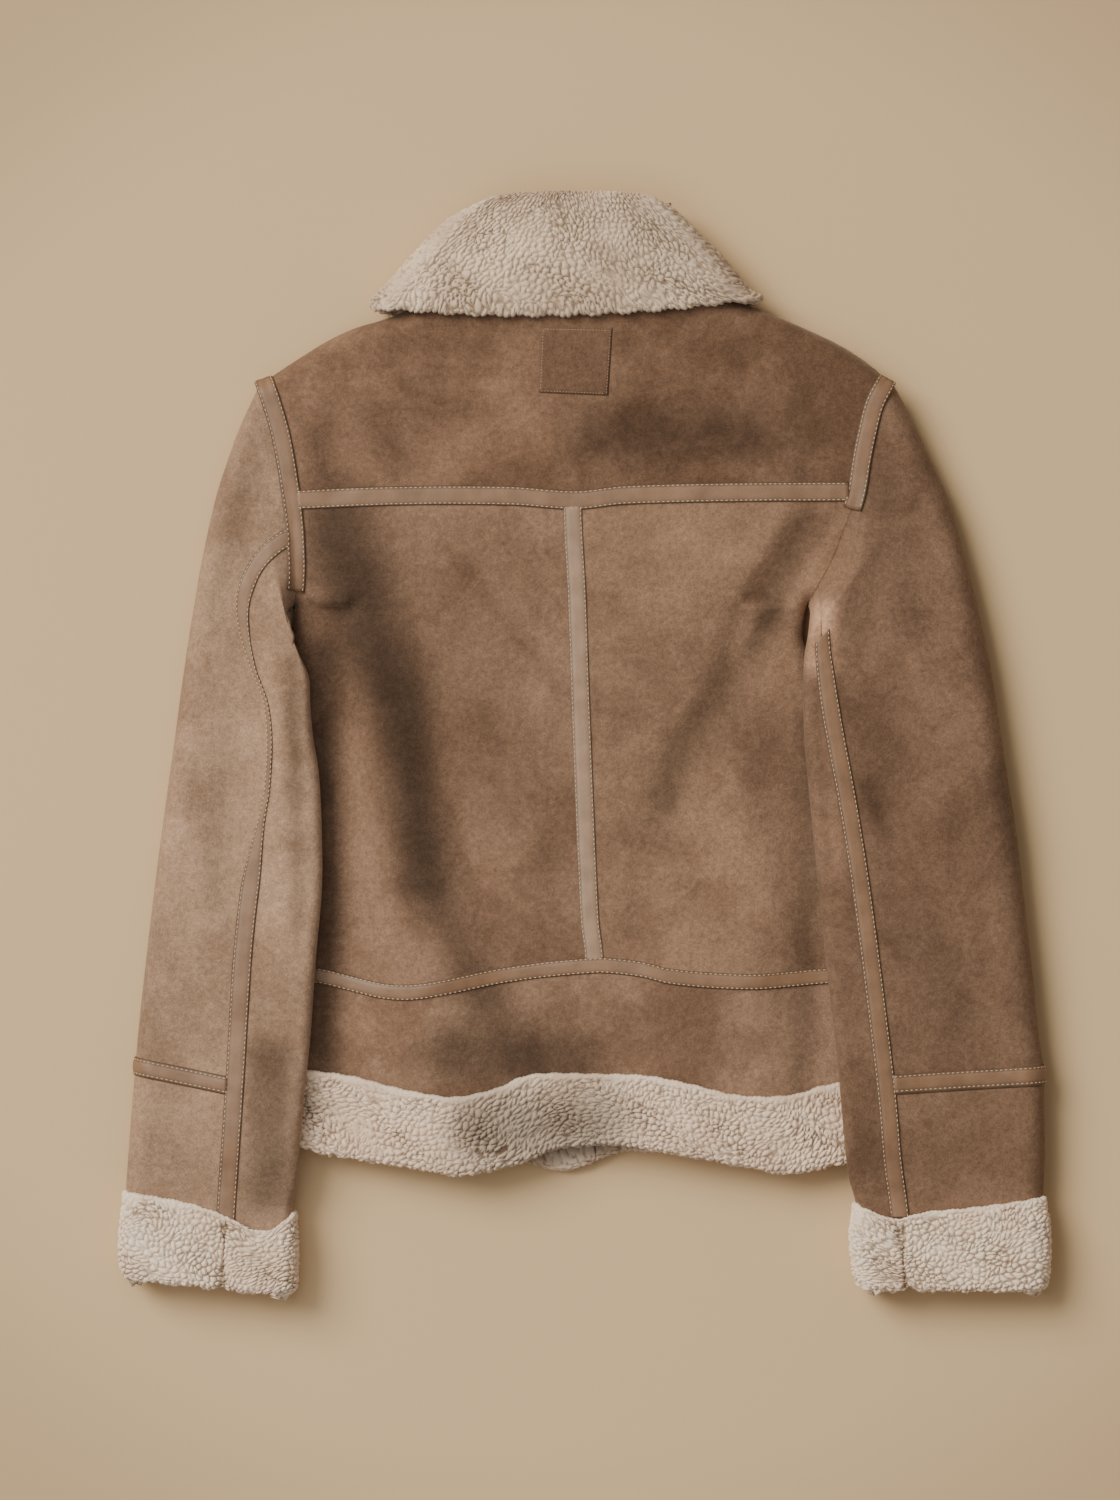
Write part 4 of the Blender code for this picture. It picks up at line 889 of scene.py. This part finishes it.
def curled(u, v, combed, seed):
    """Height of the pile at places in mm, and its colour mask of painted shade: 0 in the gaps and 1 on the
    curls.

    Curls are round in some places and drawn out in others, and combed (0 to 1) makes locks
    that lie down the piece.
    """
    turn = 1.3 * np.sin(u / 38 + seed) + 1.0 * np.sin(v / 24 - u / 57 + 2 * seed)
    turn += 0.5 * np.sin(u / 13 + v / 9)
    draw = np.sin(u / 27 - v / 31 + 3 * seed) + 0.5 * np.sin(v / 12 + u / 19)
    draw = 1.15 + 1.1 * soft_step(-0.6, 0.8, draw)
    turn, draw = mix(turn, 1.42, combed), mix(draw, 3.0, combed)
    u = u + 0.9 * np.sin(v / 4.3 + u / 6.1) + 1.6 * np.sin(v / 11 + seed)
    v = v + 0.9 * np.sin(u / 4.7 - v / 5.9) + 1.6 * np.sin(u / 12 + 2 * seed)
    near, second = curl_cells(u, v, CURL_SIZE, seed, turn, draw)
    height = soft_step(0.0, 0.55, second - near) * (1 - 0.40 * np.clip(near, 0, 1) ** 2)
    near_tuft, second_tuft = curl_cells(u, v, TUFT_SIZE, seed + 5)
    broad = soft_step(0.0, 0.5, second_tuft - near_tuft)
    closed = 0.5 + 0.5 * np.sin(u / 9.5 + 2 * np.sin(v / 17 + seed)) * np.sin(v / 12.0 + seed)
    mask = mix(soft_step(0.0, 0.42, second - near), 1, 0.35 * closed)
    return height * (0.75 + 0.25 * broad), mask


hem_fleece = fleece("hem_fleece", (0.75, 0.55, 0.405), (0.92, 0.715, 0.545), (0.19, 0.11, 0.062))


def turned_up(base, sign, leaf_rows, top_rise=TURN_GAP + FLEECE_WALL):
    """Pile side of fleece turned over an edge: the hidden leaf, the fold, and the leaf that shows.

    base runs down to the edge; the result runs from inside, round the edge and up outside, where
    the pile side ends top_rise over the base.
    """
    outs = out_of(base, sign)
    down = (base[-1] - base[-3]) / np.linalg.norm(base[-1] - base[-3], axis=-1, keepdims=True)

    def over(t, rise):
        """The row at a share t of the base, rise above it."""
        low = min(len(base) - 2, int(t * (len(base) - 1)))
        part = t * (len(base) - 1) - low
        return mix(base[low] + outs[low] * rise, base[low + 1] + outs[low + 1] * rise, part)

    rows = [over(t, -FLEECE_WALL) for t in np.linspace(0.45, 1, INNER_ROWS)[:-1]]
    radius = TURN_GAP / 2 + FLEECE_WALL
    for angle in np.linspace(0, math.pi, ARC_ROWS):
        lift = TURN_GAP / 2 - radius * math.cos(angle)
        rows.append(base[-1] + outs[-2] * lift + down * radius * math.sin(angle))
    for t in np.linspace(1, 0, leaf_rows)[1:]:
        rows.append(over(t, mix(top_rise, TURN_GAP + FLEECE_WALL, float(soft_step(0.0, 0.45, t)))))
    return np.stack(rows)


def grow_pile(name, surface, sign, finish, seed, depth=1.9, lip=(3.0, 3.4), teeth=0.5, comb=None,
              shading_strokes=(), tufts=0.0, seam=0.0):
    """Gives the pile side of a fleece surface its curls, a rounded ragged edge and its thickness."""
    run_u, run_v = run_along(surface, 1)[None], run_along(surface, 0)[:, None]
    u, v = np.broadcast_arrays(run_u, run_v)
    combed = comb(u, v) if comb else 0.0 * u
    height, mask = curled(u, v, combed, seed)
    from_edge = run_v[-1] - v
    turn = 1 - np.clip(from_edge / lip[0], 0, 1)
    rounded = lip[1] * (1 - np.sqrt(np.clip(1 - turn ** 2, 0, 1)))
    band = (1 - soft_step(3.0, 6.5, from_edge + 1.2 * np.sin(u / 6.1))) * (1 - combed)
    outs = out_of(surface, sign)
    sink = (1 - height) * depth * (1 - turn) * (1 - 0.7 * band) + rounded
    down = surface[-1] - surface[-4]
    down /= np.linalg.norm(down, axis=-1, keepdims=True)
    ragged = teeth * (np.abs(np.sin(u * 0.95 + 1.3 * np.sin(u / 9 + seed))) + 0.6 * np.sin(u / 2.3 + seed))
    at_fold = np.exp(-(((v - run_v[len(run_v) // FOLD_PART]) / 7) ** 2)) * tufts
    tufty = 0.5 * np.sin(u / 1.7 + 2 * np.sin(u / 11 + seed)) + 0.6 * np.sin(u / 4.6 + seed)
    sink = sink - at_fold * tufty
    from_seam = np.minimum(u, run_u[0, -1] - u) + 1.5 * np.sin(v / 9)
    # painted shade in the cuff seam's crevice: the curl mask is darkened there, besides the pile sinking
    crevice = seam * np.exp(-((from_seam / 2.2) ** 2)) * soft_step(2.5, 9, from_edge)
    mask = mask * (1 - 0.8 * np.clip(crevice, 0, 1))
    flick = seam * np.exp(-(((from_seam - 9) / 13) ** 2)) * soft_step(6.5, 1.5, from_edge)
    sink = sink + 2.4 * crevice - 1.7 * flick
    points = surface - outs * (sink - 0.3)[..., None]
    points += down * (ragged * soft_step(7.0, 0.0, from_edge))[..., None]
    # painted light and painted shade along the stroke table scale the fleece colour
    lean = fold_height(points[..., 0], points[..., 1], shading_strokes)
    masks = {"curl": mix(mask, 1, 0.8 * band), "nap": np.exp(lean)}
    return lay_cloth(name, points, PILE_WALL, finish, sign, masks)


HEM_COLUMNS, HEM_ROWS = 408.5, 60
# painted shade across the middle of the hem and near its left end, and painted light on its bulge to the
# left: x, y, x, y, half width, shift
HEM_SHADING_STROKES = [
    (-70, -268, 6, -264, 26, -0.92), (-204, -250, -180, -254, 10, -0.25),
    (-175, -272, -110, -274, 22, 0.10),
]
for name, low, high, edge, face, sign, fine, area in (
    ("hem_back", -1, 1, HEM_EDGE, 1, -1, 1.0, 0.056),
    ("hem_front_left", -1, -0.002, FRONT_HEM_EDGE, -1, 1, 0.5, 0.028),
    ("hem_front_right", 0.002, 1, FRONT_HEM_EDGE, -1, 1, 0.5, 0.026),
):
    across = crowded(low, high, HEM_COLUMNS * (high - low) / 2 * fine, 0.2)
    base = body_sheet(across, np.linspace(0, 0.92, 22), HEM_TOP, edge, face)
    surface = turned_up(base, sign, int(HEM_ROWS * fine))
    piece = grow_pile(name + "_fleece", surface, -sign, hem_fleece, 1.7 + face, shading_strokes=HEM_SHADING_STROKES,
                      tufts=1.5)
    settle(piece, name, "fleece", flat=(0.46 * (high - low) / 2, 0.122), held="folded", area=area)

# ----------------------------------------
# Turned-up cuffs: bands of the same fleece folded back over the sleeve ends, closed by a seam on
# the back. The upper edge hangs lower near the seam and the inner side.
CUFF_DROP = {
    "left": [(0, 0), (0.4, 2), (0.62, 7), (0.75, 13), (0.87, 12), (0.96, 4), (1, 0)],
    "right": [(0, 0), (0.2, 3), (0.45, 6), (0.63, 7.5), (0.8, 12), (0.9, 7), (1, 0)],
}
CUFF_BULGE, CUFF_CORNER, CUFF_ROWS, CUFF_COLUMNS, CUFF_TOP_RISE = 0.75, 11.0, 92, 240, 3.4
# Columns are wider apart on the floor side: their share there, and between which heights it ends.
FLOOR_SHARE, FLOOR_TO_TOP = 0.42, (13, 24)
CUFF_CUT = {"left": (0.305, 0.130), "right": (0.330, 0.132)}


def cuff_comb(u, v):
    """The cuffs' pile is part combed into locks, in patches."""
    return 0.5 * soft_step(-0.2, 1.0, np.sin(u / 31 + 1) + 0.5 * np.sin(v / 17))


cuff_fleece = fleece("cuff_fleece", (0.86, 0.66, 0.50), (0.97, 0.785, 0.62), (0.24, 0.15, 0.09))
for label, side in (("left", -1), ("right", 1)):
    top = len(SLEEVE_SECTIONS[label]) - 4
    place = top + np.linspace(0, 3, 22)
    *_, total, back_seam, _ = (part[:, None] for part in sleeve_lengths(label, place))
    ring = np.linspace(0, 1, 601)
    round_top = (back_seam[:1] + ring * 2 * total[:1]) % (2 * total[:1])
    height = sleeve_round(label, place[:1], round_top)[0, :, 2]
    share = np.append(0, mix(FLOOR_SHARE, 1.0, soft_step(*FLOOR_TO_TOP, height))[1:].cumsum())
    columns = np.interp(np.linspace(0, share[-1], CUFF_COLUMNS), share, ring)
    around = back_seam + columns * 2 * total
    around = np.where(around > 2 * total, around - 2 * total, around)
    base = sleeve_round(label, place, around)
    line = base[0, :, 0]
    outer_x, _, inner_x, _ = SLEEVE_SECTIONS[label][top]
    inward = (line - line.min()) / np.ptp(line) if side < 0 else 1 - (line - inner_x) / (outer_x - inner_x)
    drop = curve(CUFF_DROP[label], np.clip(inward, 0, 1)) * (base[0, :, 2] > 18)
    lengths = np.linalg.norm(base[-1] - base[0], axis=-1)
    surface = turned_up(base, side, CUFF_ROWS, CUFF_TOP_RISE)
    leaf = surface[1 - CUFF_ROWS:]
    t = np.linspace(0, 1, CUFF_ROWS - 1)[:, None]
    row = t * (1 - drop / lengths) * (CUFF_ROWS - 2)
    low = np.minimum(CUFF_ROWS - 3, row.astype(int))
    column = np.arange(leaf.shape[1])
    leaf = mix(leaf[low, column], leaf[low + 1, column], (row - low)[..., None])
    surface = np.concatenate([surface[:1 - CUFF_ROWS], leaf])
    edge_x = np.clip(surface[..., 0], base[..., 0].min(), base[..., 0].max())
    surface[..., 0] = mix(edge_x, surface[..., 0], CUFF_BULGE)
    middle = (surface[..., 0].max() + surface[..., 0].min()) / 2
    half = np.ptp(surface[..., 0]) / 2
    from_fold = np.linalg.norm(surface - surface[INNER_ROWS - 1 + ARC_ROWS // 2], axis=-1)
    corner = 1 - np.clip(from_fold / CUFF_CORNER, 0, 1)
    drawn_in = CUFF_CORNER / half * (1 - np.sqrt(1 - corner ** 2)) * 0.8
    surface[..., 0] = middle + (surface[..., 0] - middle) * (1 - drawn_in)
    piece = grow_pile(label + "_cuff_fleece", surface, -side, cuff_fleece, 4.1 + side, comb=cuff_comb,
                      tufts=1.4, seam=1.0)
    settle(piece, label + "_cuff", "fleece", flat=CUFF_CUT[label], held="folded")

# ----------------------------------------
# Collar: deep curled fleece that stands up round the neck and folds over. Its leaf spreads on the
# back, and along its lower edge the pile is combed into a fringe of short locks.
# columns: left x, right x, left y, middle y, right y, front y, low z, high z, turn in degrees
COLLAR_SECTIONS = [
    (-91, 83, 319.5, 306, 323.5, 272, 8.6, 34.0, 0), (-88, 79, 338, 334, 341, 293, 8.6, 34.0, 0),
    (-79, 68, 356, 360, 358, 315, 8.6, 33.5, 0), (-68, 56, 371, 377, 372, 330, 8.4, 33.5, 20),
    (-66, 53, 378, 381.5, 378, 335, 8.0, 34.2, 90), (-82, 60, 374, 380, 374, 333, 7.3, 35.2, 150),
    (-98, 74, 362, 370, 360, 325, 7.0, 35.8, 180), (-112, 89, 347, 352, 345, 305, 7.0, 36.0, 180),
    (-127, 103, 330, 332, 329, 282, 7.0, 36.0, 180), (-139, 112, 315.5, 314, 317, 258, 7.0, 35.9, 180),
    (-145, 119, 306, 301, 312, 244, 7.0, 35.6, 180),
]
COLLAR_WALL, COLLAR_RADIUS = 7.0, 12.0
FRONT_END = 0.488  # where each end of the collar stops on the fronts, as a share of its width
COLLAR_FOLDS = [
    (40, 356, 118, 338, 9, -1.8), (-60, 372, 10, 366, 8, -0.9), (-120, 318, -60, 330, 12, 1.2),
    (20, 320, 80, 326, 12, 1.0),
]


def collar_surface(place, front_count, side_count, back_count):
    """Pile side of the collar, rows from the neck seam over the fold, columns round the neck."""
    left, right, left_y, middle_y, right_y, front_y, low, high, turn = (
        column[:, None] for column in sections_at(COLLAR_SECTIONS, place))
    half, width = (high - low) / 2, right - left
    turn = np.radians(np.clip(turn, 0, 180))
    angle = np.radians(np.linspace(90, -90, side_count + 2)[1:-1])
    corner = COLLAR_RADIUS * (1 - np.cos(angle))[None] / width
    start = COLLAR_RADIUS / width
    front = start + np.linspace(1, 0, front_count) * (FRONT_END - start)
    back = start + np.linspace(0, 1, back_count) * (1 - 2 * start)
    fraction = np.concatenate([front, corner, back, 1 - corner[:, ::-1], 1 - front[:, ::-1]], 1)
    up, down = np.full(front_count, np.pi / 2), np.full(back_count, -np.pi / 2)
    round_to = np.concatenate([up, angle, down, angle[::-1], up])[None]
    end = np.ones(front_count + side_count)
    sideways = np.concatenate([-end, np.zeros(back_count), end])
    y_end = np.where(round_to < 0, middle_y, front_y)
    y = mix(left_y, right_y, fraction) + (y_end - (left_y + right_y) / 2) * 4 * fraction * (1 - fraction)
    y = y + 6 * soft_step(-1.2, 0.6, round_to) * soft_step(8, 10, place)[:, None]
    z = low + half * (1 - np.sin(round_to))
    x = left + width * fraction
    out_x = np.where(np.abs(np.cos(round_to)) > 1e-6, sideways * np.cos(round_to) / COLLAR_RADIUS, 0)
    out_z = -np.sin(round_to) / half
    size = np.hypot(out_x, out_z)
    ends = soft_step(-0.01, 0.09, fraction) * soft_step(-0.01, 0.09, 1 - fraction)
    swing_y = np.sin(turn) * mix(0.15, 1, ends)
    swell = np.where(turn > np.pi / 3, np.maximum(-np.cos(turn), 0.75), -np.cos(turn))
    away = np.stack([out_x / size * swell, swing_y, -out_z / size * np.cos(turn)], -1)
    points = np.stack([x, y, z], -1) + away * COLLAR_WALL
    points[..., 2] += fold_height(points[..., 0], points[..., 1], COLLAR_FOLDS) * (points[..., 2] > 30)
    return points


stand = np.linspace(0, 4, 15)[:-1]
leaf = np.linspace(4, 10, 96)
surface = collar_surface(np.append(stand, leaf), 18, 27, 236)
collar_fleece = fleece("collar_fleece", (0.62, 0.455, 0.325), (0.78, 0.60, 0.435), (0.20, 0.125, 0.075))


def fringe(u, v):
    """Where the pile is combed into locks: the last part of the leaf, in an uneven line."""
    return soft_step(v.max() - 19, v.max() - 9, v + 4 * np.sin(u / 21) + 2 * np.sin(u / 7.3))


# The strokes passed last paint light on the left of the collar and shade on its right.
collar = grow_pile("collar_fleece_curls", surface, -1, collar_fleece, 0.6, 1.7, (6.5, 5.0), 1.4, fringe,
                   [(-110, 330, -60, 350, 34, 0.13), (50, 350, 110, 330, 34, -0.17)])
settle(collar, "collar", "fleece", flat=(0.53, 0.175), held="folded", area=0.076)

# ----------------------------------------
# Floor, camera and lights: a pale floor painted darker towards its edges as a painted falloff of light,
# a large soft light from the upper left, and a gentle fill from all round.
floor_grid = bmesh.new()
bmesh.ops.create_grid(floor_grid, x_segments=1, y_segments=1, size=4)
floor_mesh = bpy.data.meshes.new("floor")
floor_grid.to_mesh(floor_mesh)
floor_grid.free()
floor_paint, floor_tree, floor_shader = new_material("floor_paint")
where = put(floor_tree, "TexCoord").outputs["Object"]
from_middle = put(floor_tree, "VectorMath", operation="LENGTH", in_0=where)
# painted light: the floor is brighter in the middle and darker outwards
outwards = ramp(from_middle.outputs["Value"], 0.48, 0.66, ease="SMOOTHSTEP")
floor_tone = blend(outwards, (0.650, 0.465, 0.272, 1), (0.530, 0.375, 0.215, 1))
join(floor_tone, floor_shader.inputs["Base Color"])
floor_shader.inputs["Roughness"].default_value = 0.9
floor_shader.inputs["Specular IOR Level"].default_value = 0.1
floor = new_piece("floor", floor_mesh, floor_paint)

sun_data = bpy.data.lights.new("window", "SUN")
sun_data.energy, sun_data.angle = 3.3, math.radians(34)
sun_data.color = (1.0, 0.955, 0.85)
sun = new_object("window", sun_data)
sun.rotation_euler = (-Vector((-1.9, 1.5, 2.2))).to_track_quat("-Z", "Y").to_euler()
fill_data = bpy.data.lights.new("fill", "AREA")
fill_data.size, fill_data.energy = 1.2, 8
fill = new_object("fill", fill_data)
fill.location = (-0.6, 0.1, 1.3)
world = bpy.data.worlds.new("studio")
world.use_nodes = True
sky = world.node_tree.nodes["Background"]
sky.inputs["Color"].default_value = (1.0, 0.94, 0.84, 1)
sky.inputs["Strength"].default_value = 0.31
bpy.context.scene.world = world

camera_data = bpy.data.cameras.new("camera")
camera_data.lens, camera_data.sensor_width = 150, 36
camera_data.clip_end = 20
camera = new_object("camera", camera_data)
camera.location = (-0.0168, -0.0025, 4.40)
bpy.context.scene.camera = camera
